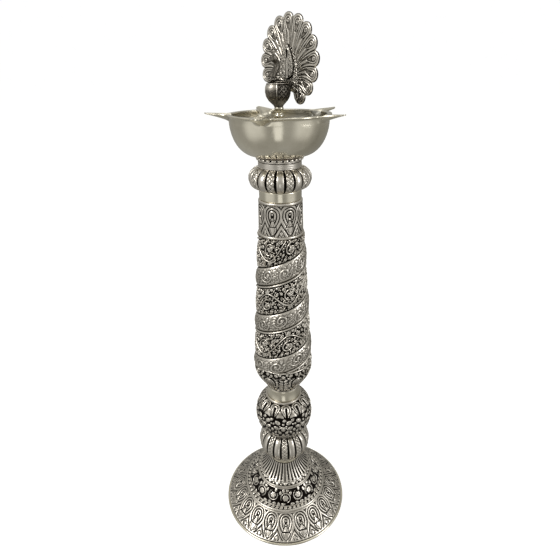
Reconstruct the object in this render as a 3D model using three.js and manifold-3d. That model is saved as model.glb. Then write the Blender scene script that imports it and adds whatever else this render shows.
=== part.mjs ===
// Tall embossed standing oil lamp with a peacock finial, millimetres, +Z up.
// The origin is at the middle of the foot, on the surface that the lamp stands on.
// Hollow shells are stacked on a tie rod; the bowl screws onto the rod's top end and
// the peacock screws into the boss in the middle of the bowl.
import * as THREE from "three";
import { mergeVertices } from "three/addons/utils/BufferGeometryUtils.js";
import Module from "manifold-3d";

const wasm = await Module();
wasm.setup();

// General clearances and walls
const GAP = 0.3; // between pieces that are stacked or fitted
const WALL = 1.8; // thickness of the embossed shells
const RING_WALL = 3.2; // thickness of the solid rings between shells
const FINE_SIDES = 28; // facets round a large piece
const COARSE_SIDES = 24; // facets round a small piece

// Foot
const FOOT_RIM_R = 128;
const FOOT_WIRE_R = 2.5;
const SKIRT_HEIGHT = 36;
const SKIRT_TOP_R = 83.5;
const SKIRT_FLARE = 1.07; // 1 is a straight cone
const OUTER_RING_R = 85;
const OUTER_RING_HEIGHT = 6.5;
const TIER_HEIGHT = 29.5;
const TIER_BOTTOM_R = 78.5;
const TIER_TOP_R = 57;
const TIER_BULGE = 2.2;
const INNER_RING_R = 58;
const INNER_RING_HEIGHT = 5;
const CONE_HEIGHT = 37;
const CONE_BOTTOM_R = 56;
const CONE_TOP_R = 30.5;
const CONE_FLARE = 1.7;
const FLUTES = 20;
const FLUTE_DEPTH = 1.4;
const COLLAR_HEIGHT = 15;
const COLLAR_R = 31;
const PLATE_THICKNESS = 2;
const PLATE_RECESS = 0.8; // height of the closing plate over the floor
const LEDGE_WIDTH = 5; // shelf inside the foot ring that the closing plate bears on
const BALLAST_HEIGHT = 12;
const BALLAST_R = 70;
const BALLAST_BORE_R = 18;

// Gadrooned bulbs
const RIBS = 20;
const GROOVE_DEPTH = 4;
const GROOVE_PUSH = 0.8; // share of the grooved bulge that the inside follows
const LOWER_BULB_HEIGHT = 58.6;
const LOWER_BULB_R = 51;
const UPPER_BULB_HEIGHT = 33;
const UPPER_BULB_R = 48.3;
const BULB_NECK_R = 30.5; // radius where a bulb meets its neighbours

// Ball, neck and cup
const WAIST_RING_HEIGHT = 6.6;
const WAIST_RING_R = 31.5;
const BALL_HEIGHT = 78.6;
const BALL_R = 54.8;
const BALL_MOUTH_R = 31;
const BALL_WALL = 4;
const BALL_RING_HEIGHT = 5.4;
const BALL_RING_R = 34.8;
const NECK_HEIGHT = 23;
const NECK_R = 31.8;
const NECK_WAIST = 0.8;
const CUP_HEIGHT = 48.4;
const CUP_TOP_R = 53.2;
const CUP_FLARE = 1.4;

// Column
const COLUMN_HEIGHT = 256;
const COLUMN_BOTTOM_R = 52.6;
const COLUMN_TOP_R = 37;
const SPIRAL_LEAD = 86; // rise of the spiral in one turn
const SPIRAL_BAND = 36; // height of the raised band, the rest of the lead is the flat one
const SPIRAL_START = 31; // height of the band's lower edge over the column's foot at +X
const SPIRAL_RELIEF = 1.8; // height of the band's edges over the shell
const SPIRAL_CROWN = 0.6; // further rise to the middle of the band
const SLEEVE_RING_HEIGHT = 4.6;
const LOWER_SLEEVE_RING_R = 37.4;
const UPPER_SLEEVE_RING_R = 34.8;
const SLEEVE_HEIGHT = 47;
const SLEEVE_BOTTOM_R = 35.4;
const SLEEVE_TOP_R = 34.2;
const BAND_HEIGHT = 14.6;
const BAND_R = 33;
const TOP_COLLAR_HEIGHT = 10.3;
const TOP_COLLAR_R = 33;
const BEAD_RING_HEIGHT = 4;
const BEAD_RING_R = 35;

// Rod, nuts, discs and washers
const ROD_R = 5;
const ROD_CLEARANCE = 0.4;
const NUT_R = 9; // to the corners
const NUT_HEIGHT = 6;
const WASHER_THICKNESS = 1.2;
const FOOT_WASHER_R = 16;
const DISC_HEIGHT = 8;
const CAP_THICKNESS = 3;
const ROD_END_LENGTH = 12; // threaded end that the bowl screws onto

// Bowl
const BOWL_HEIGHT = 57.4;
const BOWL_FOOT_R = 33;
const BOWL_BODY_R = 71.9;
const BOWL_RIM_R = 75;
const BOWL_WALL = 2;
const BOWL_BELLY = 0.86; // 1 is a round belly, less is fuller
const BOWL_LIFT = 1.08; // 1 is a round belly, more starts flatter
const BOWL_LIP = 2.3; // thickness of the rim
const RIM_WIDTH = 6.6;
const SPOUTS = 5;
const SPOUT_TIP_R = 106;
const SPOUT_DEPTH = 9.5; // drop of the spout's keel below the rim at the wall
const SPOUT_RISE = 2.5; // how far the tip stands over the rim
const SPOUT_HALF_ANGLE = 9; // degrees from the keel to the end of the fold
const BOSS_R = 13;
const BOSS_TOP_R = 10;
const BOSS_HEIGHT = 28.6;
const BOSS_SHOULDER = 4; // height of the shoulder over the nut's recess, and of its slope
const NUT_RECESS = 4;
const NUT_ROOM = 1; // round the nut's corners
const BOWL_SEAT_R = 33.8;

// Finial
const STUD_R = 4;
const STUD_LENGTH = 10;
const STUD_END_ROOM = 0.5;
const STEM_HEIGHT = 34.8;
const STEM_R = 7;
const FINIAL_SEAT_R = 8.5;
const HEADING = 224; // degrees from +X to where the bird looks
const BODY_HEIGHT = 34;
const BODY_HALF_LENGTH = 19.5;
const BODY_HALF_WIDTH = 16;
const NECK_COLLAR_R = 6.2;
const BIRD_NECK_R = 4.2;
const HEAD_R = 5.2;
const HEAD_RISE = 25; // height of the head's middle over the body
const NECK_FORWARD = 11.5;
const BEAK_LENGTH = 10;
const CREST_PLUMES = 5;
const CREST_REACH = 8;
const CREST_THICKNESS = 1.4;
const TAIL_BACK = 20; // distance of the fan's middle plane behind the stem
const TAIL_THICKNESS = 3;
const TAIL_HALF_WIDTH = 46.5; // to the middles of the eyes
const TAIL_HALF_HEIGHT = 49.5;
const TAIL_MIDDLE = 22.2; // height of the fan's middle over the body's top
const FEATHERS = 15;
const FEATHER_STEP = 21.7; // degrees round the fan from feather to feather
const FEATHER_TIP_R = 10;
const TAIL_ROOT = 14; // reach of the fan's point below the body's top
const COVERT_THICKNESS = 3;
const COVERT_HALF_WIDTH = 13;
const COVERT_HEIGHT = 44;
const RIVET_R = 2;
const RIVET_HEAD_R = 3.6;
const RIVET_HEAD_HEIGHT = 1.7;
const RIVET_SPACING = 14;
const RIVET_REACH = 8; // length of the rivets inside the body

// Colours from the lamp: antique silver on the embossed shells, warm polished nickel elsewhere
const ANTIQUE = { color: 0x8f8c84, roughness: 0.38, metalness: 1 };
const POLISHED = { color: 0xb9b29b, roughness: 0.16, metalness: 1 };
const DARK = { color: 0x4b4843, roughness: 0.5, metalness: 1 };
const STEEL = { color: 0x8a8c8e, roughness: 0.35, metalness: 1 };
const SOFT = { color: 0x5c4a38, roughness: 0.8, metalness: 0 };

const lamp = new THREE.Group();
const rad = THREE.MathUtils.degToRad;

// Adds one named piece to a group.
function add(name, geometry, look, group = lamp) {
  const mesh = new THREE.Mesh(geometry, new THREE.MeshStandardMaterial(look));
  mesh.name = name;
  group.add(mesh);
  return mesh;
}

// Closed surface of revolution about Z from [radius, height] points that go round the section
// with the metal on their left.
function turned(section, sides = FINE_SIDES) {
  const points = [...section, section[0]].map(([r, z]) => new THREE.Vector2(r, z));
  const geometry = new THREE.LatheGeometry(points, sides);
  return geometry.rotateX(Math.PI / 2);
}

// Plain ring or disc with a hole.
function disc(outer, inner, low, high, sides = COARSE_SIDES) {
  return turned([[inner, low], [outer, low], [outer, high], [inner, high]], sides);
}

// Section of a shell: the outer line from bottom to top, and the same line drawn in by a wall.
function shellSection(outer, wall) {
  const inner = outer.map(([r, z], i) => {
    const [r0, z0] = outer[Math.max(i - 1, 0)];
    const [r1, z1] = outer[Math.min(i + 1, outer.length - 1)];
    const slope = (r1 - r0) / (z1 - z0);
    return [r - wall * Math.hypot(1, slope), z];
  });
  return [...outer, ...inner.reverse()];
}

// Points of an outline whose radius follows a formula of the share of its height.
function line(low, high, steps, radiusAt) {
  return Array.from({ length: steps + 1 }, (_, i) => {
    const t = i / steps;
    return [radiusAt(t), low + (high - low) * t];
  });
}

// Closed surface from rings of points that all have the same count, capped or joined end to end.
function surface(rings, closed) {
  const count = rings[0].length;
  const positions = rings.flat(2);
  const index = [];
  const joins = closed ? rings.length : rings.length - 1;
  for (let j = 0; j < joins; j++) {
    const a = j * count;
    const b = ((j + 1) % rings.length) * count;
    for (let i = 0; i < count; i++) {
      const k = (i + 1) % count;
      index.push(a + i, a + k, b + k, a + i, b + k, b + i);
    }
  }
  if (!closed) {
    const last = (rings.length - 1) * count;
    for (const [ring, start, turn] of [[rings[0], 0, -1], [rings.at(-1), last, 1]]) {
      const middle = positions.length / 3;
      for (const axis of [0, 1, 2]) {
        positions.push(ring.reduce((sum, point) => sum + point[axis], 0) / count);
      }
      for (let i = 0; i < count; i++) {
        const k = (i + 1) % count;
        const pair = turn > 0 ? [start + i, start + k] : [start + k, start + i];
        index.push(middle, ...pair);
      }
    }
  }
  const geometry = new THREE.BufferGeometry();
  geometry.setAttribute("position", new THREE.Float32BufferAttribute(positions, 3));
  geometry.setIndex(index);
  return geometry;
}

// Ring of points at one height, whose radius follows a formula of the angle.
function ringAt(z, sides, radiusAt) {
  return Array.from({ length: sides }, (_, i) => {
    const angle = (2 * Math.PI * i) / sides;
    const r = radiusAt(angle);
    return [r * Math.cos(angle), r * Math.sin(angle), z];
  });
}

// Turns a geometry into a solid for joining and cutting, and back.
function solid(geometry) {
  const bare = geometry.clone();
  bare.deleteAttribute("normal");
  bare.deleteAttribute("uv");
  const merged = mergeVertices(bare.index ? bare.toNonIndexed() : bare, 1e-4);
  return new wasm.Manifold(new wasm.Mesh({
    numProp: 3,
    vertProperties: merged.attributes.position.array,
    triVerts: new Uint32Array(merged.index.array),
  }));
}

function geometryOf(body) {
  const mesh = body.getMesh();
  const geometry = new THREE.BufferGeometry();
  geometry.setAttribute("position", new THREE.BufferAttribute(mesh.vertProperties, 3));
  geometry.setIndex(new THREE.BufferAttribute(mesh.triVerts, 1));
  return geometry;
}

// Closing plate under the foot, and the ledge over its edge
const plateHigh = PLATE_RECESS + PLATE_THICKNESS;
const ledgeLow = plateHigh + GAP;

// Levels of the stack: each piece starts one gap above the one below it.
let level = 0;
function stack(height) {
  const low = level;
  level = low + height + GAP;
  return [low, low + height];
}

// Foot: rolled rim, flared skirt, rings, tier, fluted cone and collar
function footRing() {
  const [low, high] = stack(2 * FOOT_WIRE_R);
  const flat = 0.6 * FOOT_WIRE_R;
  const middle = FOOT_RIM_R - FOOT_WIRE_R;
  const inner = middle - FOOT_WIRE_R;
  const section = [[middle - flat, low], [middle + flat, low]];
  for (const angle of [-15, 30, 75]) {
    const z = (low + high) / 2 + FOOT_WIRE_R * Math.sin(rad(angle));
    section.push([middle + FOOT_WIRE_R * Math.cos(rad(angle)), z]);
  }
  section.push([middle, high], [inner - LEDGE_WIDTH, high], [inner - LEDGE_WIDTH, ledgeLow],
    [inner, ledgeLow]);
  add("foot_ring", turned(section), POLISHED);
}

function baseSkirt() {
  const [low, high] = stack(SKIRT_HEIGHT);
  const bottom = FOOT_RIM_R - FOOT_WIRE_R;
  const outer = line(low, high, 4, (t) =>
    SKIRT_TOP_R + (bottom - SKIRT_TOP_R) * (1 - t) ** SKIRT_FLARE);
  add("base_skirt", turned(shellSection(outer, WALL)), ANTIQUE);
}

function solidRing(name, height, radius, inner, look = ANTIQUE) {
  const [low, high] = stack(height);
  const round = Math.min(0.25 * height, 0.5 * (radius - inner));
  const section = [
    [inner, low], [radius - round, low], [radius, low + round],
    [radius, high - round], [radius - round, high], [inner, high],
  ];
  add(name, turned(section, COARSE_SIDES), look);
}

function floralTier() {
  const [low, high] = stack(TIER_HEIGHT);
  const outer = line(low, high, 4, (t) =>
    TIER_BOTTOM_R + (TIER_TOP_R - TIER_BOTTOM_R) * t + TIER_BULGE * Math.sin(Math.PI * t));
  add("floral_tier", turned(shellSection(outer, WALL)), ANTIQUE);
}

function flutedCone() {
  const [low, high] = stack(CONE_HEIGHT);
  const outer = line(low, high, 5, (t) =>
    CONE_TOP_R + (CONE_BOTTOM_R - CONE_TOP_R) * (1 - t) ** CONE_FLARE);
  const section = shellSection(outer, WALL + FLUTE_DEPTH);
  const sides = 2 * FLUTES;
  const rings = section.map(([r, z], i) => ringAt(z, sides, (angle) =>
    r - (i < outer.length ? FLUTE_DEPTH * (0.5 - 0.5 * Math.cos(FLUTES * angle)) : 0)));
  add("fluted_cone", surface(rings, true), ANTIQUE);
}

// Ribbed bulb: a bulging shell whose grooves run from its bottom to its top.
function ribbedBulb(name, height, radius) {
  const [low, high] = stack(height);
  const steps = 6;
  const sides = 3 * RIBS;
  const bulge = (t) => Math.sqrt(Math.max(0, 1 - (2 * t - 1) ** 2));
  const outer = [];
  const inner = [];
  for (let i = 0; i <= steps; i++) {
    const t = 0.5 - 0.5 * Math.cos((Math.PI * i) / steps);
    const z = low + (high - low) * t;
    const r = BULB_NECK_R + (radius - BULB_NECK_R) * bulge(t);
    outer.push(ringAt(z, sides, (angle) =>
      r - GROOVE_DEPTH * bulge(t) * (1 - Math.abs(Math.sin((RIBS * angle) / 2)))));
    if (i % 2 === 0) {
      const hollow = GROOVE_PUSH * (radius - BULB_NECK_R - GROOVE_DEPTH) * bulge(t);
      inner.push(ringAt(z, sides, () => BULB_NECK_R - WALL + hollow));
    }
  }
  const bulb = add(name, surface([...outer, ...inner.reverse()], true), ANTIQUE);
  bulb.rotation.z = Math.PI / RIBS; // a rib, not a groove, lies at +X and at the front
}

function ballHalves() {
  const [low, high] = stack(BALL_HEIGHT);
  const middle = (low + high) / 2;
  const half = (high - low) / 2;
  const bulge = (z) => Math.sqrt(Math.max(0, 1 - ((z - middle) / half) ** 2));
  const radiusAt = (z) => BALL_MOUTH_R + (BALL_R - BALL_MOUTH_R) * bulge(z);
  const halfLine = (from, to) => Array.from({ length: 5 }, (_, i) => {
    const angle = from + ((to - from) * i) / 4;
    const z = middle + half * Math.sin(angle);
    return [radiusAt(z), z];
  });
  const lower = halfLine(-Math.PI / 2, -GAP / half);
  const upper = halfLine(0, Math.PI / 2);
  const drawnIn = (outer) => [...outer, ...outer.map(([r, z]) => [r - BALL_WALL, z]).reverse()];
  add("ball_lower", turned(drawnIn(lower)), ANTIQUE);
  add("ball_upper", turned(drawnIn(upper)), ANTIQUE);
}

function neckBand() {
  const [low, high] = stack(NECK_HEIGHT);
  const outer = line(low, high, 2, (t) => NECK_R - NECK_WAIST * Math.sin(Math.PI * t));
  add("neck_band", turned(shellSection(outer, WALL)), POLISHED);
}

function leafCup() {
  const [low, high] = stack(CUP_HEIGHT);
  const outer = line(low, high, 5, (t) =>
    NECK_R + (CUP_TOP_R - NECK_R) * Math.sin((Math.PI / 2) * t) ** CUP_FLARE);
  add("leaf_cup", turned(shellSection(outer, WALL)), ANTIQUE);
}

// Column: a tapering shell with one raised band that winds up it to the right.
function spiralColumn() {
  const [low, high] = stack(COLUMN_HEIGHT);
  const shellAt = (z) =>
    COLUMN_BOTTOM_R + ((COLUMN_TOP_R - COLUMN_BOTTOM_R) * (z - low)) / COLUMN_HEIGHT;
  // Section of the band: share of its height, and how far it stands out of the shell.
  const section = [
    [1, -WALL / 2], [0.9, SPIRAL_RELIEF], [0.5, SPIRAL_RELIEF + SPIRAL_CROWN],
    [0.1, SPIRAL_RELIEF], [0, -WALL / 2],
  ];
  const turns = COLUMN_HEIGHT / SPIRAL_LEAD + 2;
  const sections = Array.from({ length: Math.ceil(turns * FINE_SIDES) + 1 }, (_, i) => {
    const angle = (2 * Math.PI * i) / FINE_SIDES;
    const foot = low + SPIRAL_START + SPIRAL_LEAD * (i / FINE_SIDES - 2);
    return section.map(([share, out]) => {
      const z = foot + SPIRAL_BAND * share;
      const r = shellAt(z) + out;
      return [r * Math.cos(angle), r * Math.sin(angle), z];
    });
  });
  const shell = turned([
    [shellAt(low) - WALL, low], [shellAt(low), low], [shellAt(high), high],
    [shellAt(high) - WALL, high],
  ]);
  const wide = 2 * COLUMN_BOTTOM_R;
  const between = turned([[0, low], [wide, low], [wide, high], [0, high]], COARSE_SIDES);
  const band = solid(surface(sections, false)).intersect(solid(between));
  add("column_shell", geometryOf(solid(shell).add(band)), ANTIQUE);
}

function straightShell(name, height, bottom, top, look) {
  const [low, high] = stack(height);
  const section = [[bottom - WALL, low], [bottom, low], [top, high], [top - WALL, high]];
  add(name, turned(section), look);
}

footRing();
baseSkirt();
solidRing("outer_ring", OUTER_RING_HEIGHT, OUTER_RING_R, TIER_BOTTOM_R - RING_WALL);
floralTier();
solidRing("inner_ring", INNER_RING_HEIGHT, INNER_RING_R, CONE_BOTTOM_R - 2 * RING_WALL);
flutedCone();
straightShell("base_collar", COLLAR_HEIGHT, COLLAR_R, COLLAR_R, POLISHED);
const baseTop = level;
ribbedBulb("lower_bulb", LOWER_BULB_HEIGHT, LOWER_BULB_R);
solidRing("waist_ring", WAIST_RING_HEIGHT, WAIST_RING_R, WAIST_RING_R - RING_WALL, DARK);
const ballFoot = level;
ballHalves();
solidRing("ball_ring", BALL_RING_HEIGHT, BALL_RING_R, NECK_R - RING_WALL);
const neckFoot = level;
neckBand();
leafCup();
spiralColumn();
const columnTop = level;
solidRing("lower_sleeve_ring", SLEEVE_RING_HEIGHT, LOWER_SLEEVE_RING_R,
  SLEEVE_BOTTOM_R - RING_WALL);
straightShell("feather_sleeve", SLEEVE_HEIGHT, SLEEVE_BOTTOM_R, SLEEVE_TOP_R, ANTIQUE);
solidRing("upper_sleeve_ring", SLEEVE_RING_HEIGHT, UPPER_SLEEVE_RING_R, BAND_R - RING_WALL);
straightShell("plain_band", BAND_HEIGHT, BAND_R, BAND_R, POLISHED);
const bulbFoot = level;
ribbedBulb("upper_bulb", UPPER_BULB_HEIGHT, UPPER_BULB_R);
straightShell("top_collar", TOP_COLLAR_HEIGHT, TOP_COLLAR_R, TOP_COLLAR_R, ANTIQUE);
const capLevel = level;
const capR = TOP_COLLAR_R - GAP;
solidRing("bead_ring", BEAD_RING_HEIGHT, BEAD_RING_R, capR + GAP);
const seatLevel = level;

// Inside: closing plate, ballast, tie rod with its nuts, and the discs that centre the shells
const rodHole = ROD_R + ROD_CLEARANCE;
const plateR = FOOT_RIM_R - 2 * FOOT_WIRE_R - GAP;
add("closing_plate", disc(plateR, rodHole, PLATE_RECESS, plateHigh, FINE_SIDES), DARK);
const ballastLow = plateHigh + GAP;
add("ballast_ring", disc(BALLAST_R, BALLAST_BORE_R, ballastLow, ballastLow + BALLAST_HEIGHT),
  DARK);
const footWasherTop = plateHigh + GAP + WASHER_THICKNESS;
add("foot_washer", disc(FOOT_WASHER_R, rodHole, plateHigh + GAP, footWasherTop), STEEL);

function hexNut(name, low) {
  const high = low + NUT_HEIGHT;
  const prism = turned([[0, low], [NUT_R, low], [NUT_R, high], [0, high]], 6);
  const bore = turned([[0, low - 1], [rodHole, low - 1], [rodHole, high + 1], [0, high + 1]], 12);
  add(name, geometryOf(solid(prism).subtract(solid(bore))), STEEL);
}
hexNut("foot_nut", footWasherTop + GAP);

const capHigh = capLevel + CAP_THICKNESS;
add("top_cap", disc(capR, rodHole, capLevel, capHigh), STEEL);
hexNut("top_nut", capHigh + GAP);
const bowlFoot = seatLevel + WASHER_THICKNESS + GAP;
const socketLow = bowlFoot + NUT_RECESS + GAP;
const rodTop = socketLow + ROD_END_LENGTH - GAP;
add("tie_rod", turned([[0, PLATE_RECESS], [ROD_R, PLATE_RECESS], [ROD_R, rodTop], [0, rodTop]],
  12), STEEL);

// Each disc spans the joint between two shells and stands off their bores by the clearance.
const bores = {
  base_disc: [baseTop, Math.min(COLLAR_R - WALL, BULB_NECK_R - WALL)],
  ball_disc: [ballFoot, Math.min(WAIST_RING_R - RING_WALL, BALL_MOUTH_R - BALL_WALL)],
  neck_disc: [neckFoot, Math.min(NECK_R - WALL - NECK_WAIST, NECK_R - RING_WALL)],
  column_disc: [columnTop, Math.min(COLUMN_TOP_R - WALL, SLEEVE_BOTTOM_R - RING_WALL)],
  sleeve_disc: [bulbFoot, Math.min(BAND_R - WALL, BULB_NECK_R - WALL)],
};
for (const [name, [height, bore]] of Object.entries(bores)) {
  const middle = height - GAP / 2;
  const outer = bore - 2 * GAP;
  add(name, disc(outer, rodHole, middle - DISC_HEIGHT / 2, middle + DISC_HEIGHT / 2), STEEL);
}

// Bowl: the wall, its rim, and five spouts folded out of the rim
const rimTop = bowlFoot + BOWL_HEIGHT;
function bowlShell() {
  const keelWall = rimTop - SPOUT_DEPTH;
  const rimUnder = rimTop - BOWL_LIP;
  const tipTop = rimTop + SPOUT_RISE;
  const reach = SPOUT_TIP_R - BOWL_BODY_R;
  // Wall below the spouts, from the foot up: a rounded dish that ends upright.
  const wallOuter = [];
  for (const angle of [0, 18, 36, 54, 72, 90]) {
    const a = rad(angle);
    const r = BOWL_FOOT_R + (BOWL_BODY_R - BOWL_FOOT_R) * Math.sin(a) ** BOWL_BELLY;
    wallOuter.push([r, bowlFoot + (keelWall - bowlFoot) * (1 - Math.cos(a) ** BOWL_LIFT)]);
  }
  const wallInner = wallOuter.map(([r, z], i) => {
    const lean = (i / (wallOuter.length - 1)) * (Math.PI / 2);
    return [r - BOWL_WALL * Math.sin(lean), z + BOWL_WALL * Math.cos(lean)];
  });
  // Rim and spout, as pairs: where the point lies on the plain rim, and on the spout's keel.
  const keel = (share, top) => [
    BOWL_BODY_R + reach * share,
    keelWall + (tipTop - BOWL_WALL - keelWall) * share + (top ? BOWL_WALL : 0),
  ];
  const folded = [
    [[BOWL_BODY_R + 0.4, rimUnder - 1.6], keel(0.34, false)],
    [[BOWL_BODY_R + 1.2, rimUnder - 0.4], keel(0.68, false)],
    [[BOWL_RIM_R, rimUnder], keel(1, false)],
    [[BOWL_RIM_R, rimTop], keel(1, true)],
    [[BOWL_RIM_R - RIM_WIDTH, rimTop - 0.2], keel(0.64, true)],
    [[BOWL_RIM_R - RIM_WIDTH - 0.4, rimTop - BOWL_LIP], keel(0.3, true)],
  ];
  const plain = (point) => [point, point];
  const section = [
    plain([BOSS_R + GAP, bowlFoot]),
    ...wallOuter.map(plain),
    ...folded,
    ...wallInner.reverse().map(plain),
    plain([BOSS_R + GAP, bowlFoot + BOWL_WALL]),
  ];
  const turn = 360 / SPOUTS;
  const offsets = [0, 0.35, 0.7, 1, 1.8].map((s) => s * SPOUT_HALF_ANGLE);
  const angles = [];
  for (let i = 0; i < SPOUTS; i++) {
    const middle = 180 + i * turn;
    for (const offset of offsets.slice(1).reverse()) angles.push([middle - offset, offset]);
    for (const offset of offsets) angles.push([middle + offset, offset]);
    angles.push([middle + turn / 2, turn / 2]);
  }
  const rings = section.map(([open, keelPoint]) => angles.map(([degrees, offset]) => {
    const fold = Math.max(0, 1 - offset / SPOUT_HALF_ANGLE);
    const spread = Math.exp(-((offset / (0.75 * SPOUT_HALF_ANGLE)) ** 2.6));
    const r = open[0] + (keelPoint[0] - open[0]) * spread;
    const z = open[1] + (keelPoint[1] - open[1]) * fold;
    return [r * Math.cos(rad(degrees)), r * Math.sin(rad(degrees)), z];
  }));
  return surface(rings, true);
}

function bowlBoss() {
  const low = bowlFoot + GAP;
  const high = bowlFoot + BOSS_HEIGHT;
  const shoulder = low + NUT_RECESS + BOSS_SHOULDER;
  const finialSocket = STUD_LENGTH + STUD_END_ROOM;
  return turned([
    [NUT_R + NUT_ROOM, low], [BOSS_R, low], [BOSS_R, shoulder],
    [BOSS_TOP_R, shoulder + BOSS_SHOULDER],
    [BOSS_TOP_R, high], [STUD_R + ROD_CLEARANCE, high],
    [STUD_R + ROD_CLEARANCE, high - finialSocket], [0, high - finialSocket],
    [0, socketLow + ROD_END_LENGTH], [rodHole, socketLow + ROD_END_LENGTH],
    [rodHole, socketLow], [NUT_R + NUT_ROOM, socketLow],
  ], COARSE_SIDES);
}

add("bowl_seat_washer", disc(BOWL_SEAT_R, NUT_R + NUT_ROOM, seatLevel,
  seatLevel + WASHER_THICKNESS), SOFT);
add("bowl", bowlShell(), POLISHED);
add("bowl_boss", bowlBoss(), POLISHED);

// Finial: washer, stem with its stud, and the peacock
const bossTop = bowlFoot + BOSS_HEIGHT;
const finialSeat = bossTop + GAP;
const stemLow = finialSeat + WASHER_THICKNESS + GAP;
const stemHigh = stemLow + STEM_HEIGHT;
add("finial_washer", disc(FINIAL_SEAT_R, STUD_R + ROD_CLEARANCE, finialSeat,
  finialSeat + WASHER_THICKNESS), SOFT);

function finialStem() {
  const studLow = stemLow - WASHER_THICKNESS - 2 * GAP - STUD_LENGTH;
  const at = (share) => stemLow + STEM_HEIGHT * share;
  return turned([
    [0, studLow], [STUD_R, studLow], [STUD_R, stemLow], [STEM_R + 1, stemLow],
    [STEM_R + 1, at(0.08)], [0.72 * STEM_R, at(0.2)], [0.72 * STEM_R, at(0.5)],
    [STEM_R, at(0.62)], [STEM_R, at(0.7)], [0.76 * STEM_R, at(0.78)],
    [0.9 * STEM_R, at(0.88)], [STEM_R, stemHigh], [0, stemHigh],
  ], 16);
}
add("finial_stem", finialStem(), POLISHED);

// The bird is built looking along +X with the stem's axis as Z, then turned to its heading.
const bird = new THREE.Group();
bird.position.z = stemHigh + GAP;
bird.rotation.z = rad(HEADING);
lamp.add(bird);

const tailFront = -TAIL_BACK + TAIL_THICKNESS / 2;
const rivets = [-RIVET_SPACING / 2, RIVET_SPACING / 2];

// Pin along X from one place to another.
function pin(radius, from, to, y, z) {
  const geometry = new THREE.CylinderGeometry(radius, radius, to - from, 12);
  return geometry.rotateZ(-Math.PI / 2).translate((from + to) / 2, y, z);
}
const rivetZ = 0.62 * BODY_HEIGHT;

function birdBody() {
  const sections = [[0, 0.36], [0.12, 0.5], [0.3, 0.82], [0.5, 1], [0.7, 0.97], [0.88, 0.72],
    [1, 0.34]];
  const middle = BODY_HALF_LENGTH + tailFront + GAP;
  const rings = sections.map(([t, size]) => Array.from({ length: 20 }, (_, i) => {
    const angle = (2 * Math.PI * i) / 20;
    const shift = middle * size;
    return [shift + BODY_HALF_LENGTH * size * Math.cos(angle),
      BODY_HALF_WIDTH * size * Math.sin(angle), BODY_HEIGHT * t];
  }));
  let body = solid(surface(rings, false));
  for (const y of rivets) {
    const hole = pin(RIVET_R + ROD_CLEARANCE, tailFront - 1, tailFront + RIVET_REACH + 1, y,
      rivetZ);
    body = body.subtract(solid(hole));
  }
  return geometryOf(body);
}
add("bird_body", birdBody(), ANTIQUE, bird);

// Neck, head and beak as one round section carried along a bent line.
function birdNeck() {
  const top = BODY_HEIGHT + GAP;
  const path = [
    [NECK_FORWARD, 0, NECK_COLLAR_R], [NECK_FORWARD, 0.1, NECK_COLLAR_R],
    [NECK_FORWARD, 0.12, NECK_COLLAR_R - 1], [0.75 * NECK_FORWARD, 0.35, BIRD_NECK_R + 0.6],
    [0.3 * NECK_FORWARD, 0.62, BIRD_NECK_R], [0.25 * NECK_FORWARD, 0.84, BIRD_NECK_R],
    [0.55 * NECK_FORWARD, 1.04, HEAD_R], [0.85 * NECK_FORWARD, 1.08, HEAD_R * 0.92],
    [NECK_FORWARD + 2, 1.03, HEAD_R * 0.45], [NECK_FORWARD + BEAK_LENGTH, 0.93, 0.7],
  ].map(([x, share, r]) => [x, top + HEAD_RISE * share, r]);
  const sides = 14;
  const rings = path.map(([x, z, r], i) => {
    const [x0, z0] = path[Math.max(i - 1, 0)];
    const [x1, z1] = path[Math.min(i + 1, path.length - 1)];
    const tilt = i < 3 ? Math.PI / 2 : Math.atan2(z1 - z0, x1 - x0);
    return Array.from({ length: sides }, (_, k) => {
      const angle = (2 * Math.PI * k) / sides;
      const across = r * Math.cos(angle);
      return [x + across * Math.sin(tilt), r * Math.sin(angle), z - across * Math.cos(tilt)];
    });
  });
  return surface(rings, false);
}
add("bird_neck", birdNeck(), ANTIQUE, bird);

// Tail: one cast plate whose edge is a row of round feather tips.
const tailFoot = BODY_HEIGHT;
function tailTips() {
  const tips = [];
  for (let i = 0; i < FEATHERS; i++) {
    const angle = rad(90 + (i - (FEATHERS - 1) / 2) * FEATHER_STEP);
    tips.push([TAIL_HALF_WIDTH * Math.cos(angle),
      tailFoot + TAIL_MIDDLE + TAIL_HALF_HEIGHT * Math.sin(angle)]);
  }
  return tips;
}

function tailOutline() {
  const tips = tailTips();
  const meet = ([y0, z0], [y1, z1]) => {
    const half = Math.hypot(y1 - y0, z1 - z0) / 2;
    const out = Math.sqrt(Math.max(0, FEATHER_TIP_R ** 2 - half ** 2)) / (2 * half);
    return [(y0 + y1) / 2 + (z1 - z0) * out, (z0 + z1) / 2 - (y1 - y0) * out];
  };
  const points = [[0, tailFoot - TAIL_ROOT]];
  tips.forEach(([y, z], i) => {
    const first = i === 0;
    const last = i === tips.length - 1;
    const from = first ? [y * 0.55, z - FEATHER_TIP_R] : meet(tips[i - 1], [y, z]);
    const to = last ? [y * 0.55, z - FEATHER_TIP_R] : meet([y, z], tips[i + 1]);
    const start = Math.atan2(from[1] - z, from[0] - y);
    let sweep = Math.atan2(to[1] - z, to[0] - y) - start;
    if (sweep <= 0) sweep += 2 * Math.PI;
    const steps = 6;
    for (let k = first ? 0 : 1; k <= steps; k++) {
      const angle = start + (sweep * k) / steps;
      points.push([y + FEATHER_TIP_R * Math.cos(angle), z + FEATHER_TIP_R * Math.sin(angle)]);
    }
  });
  return points;
}

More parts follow.
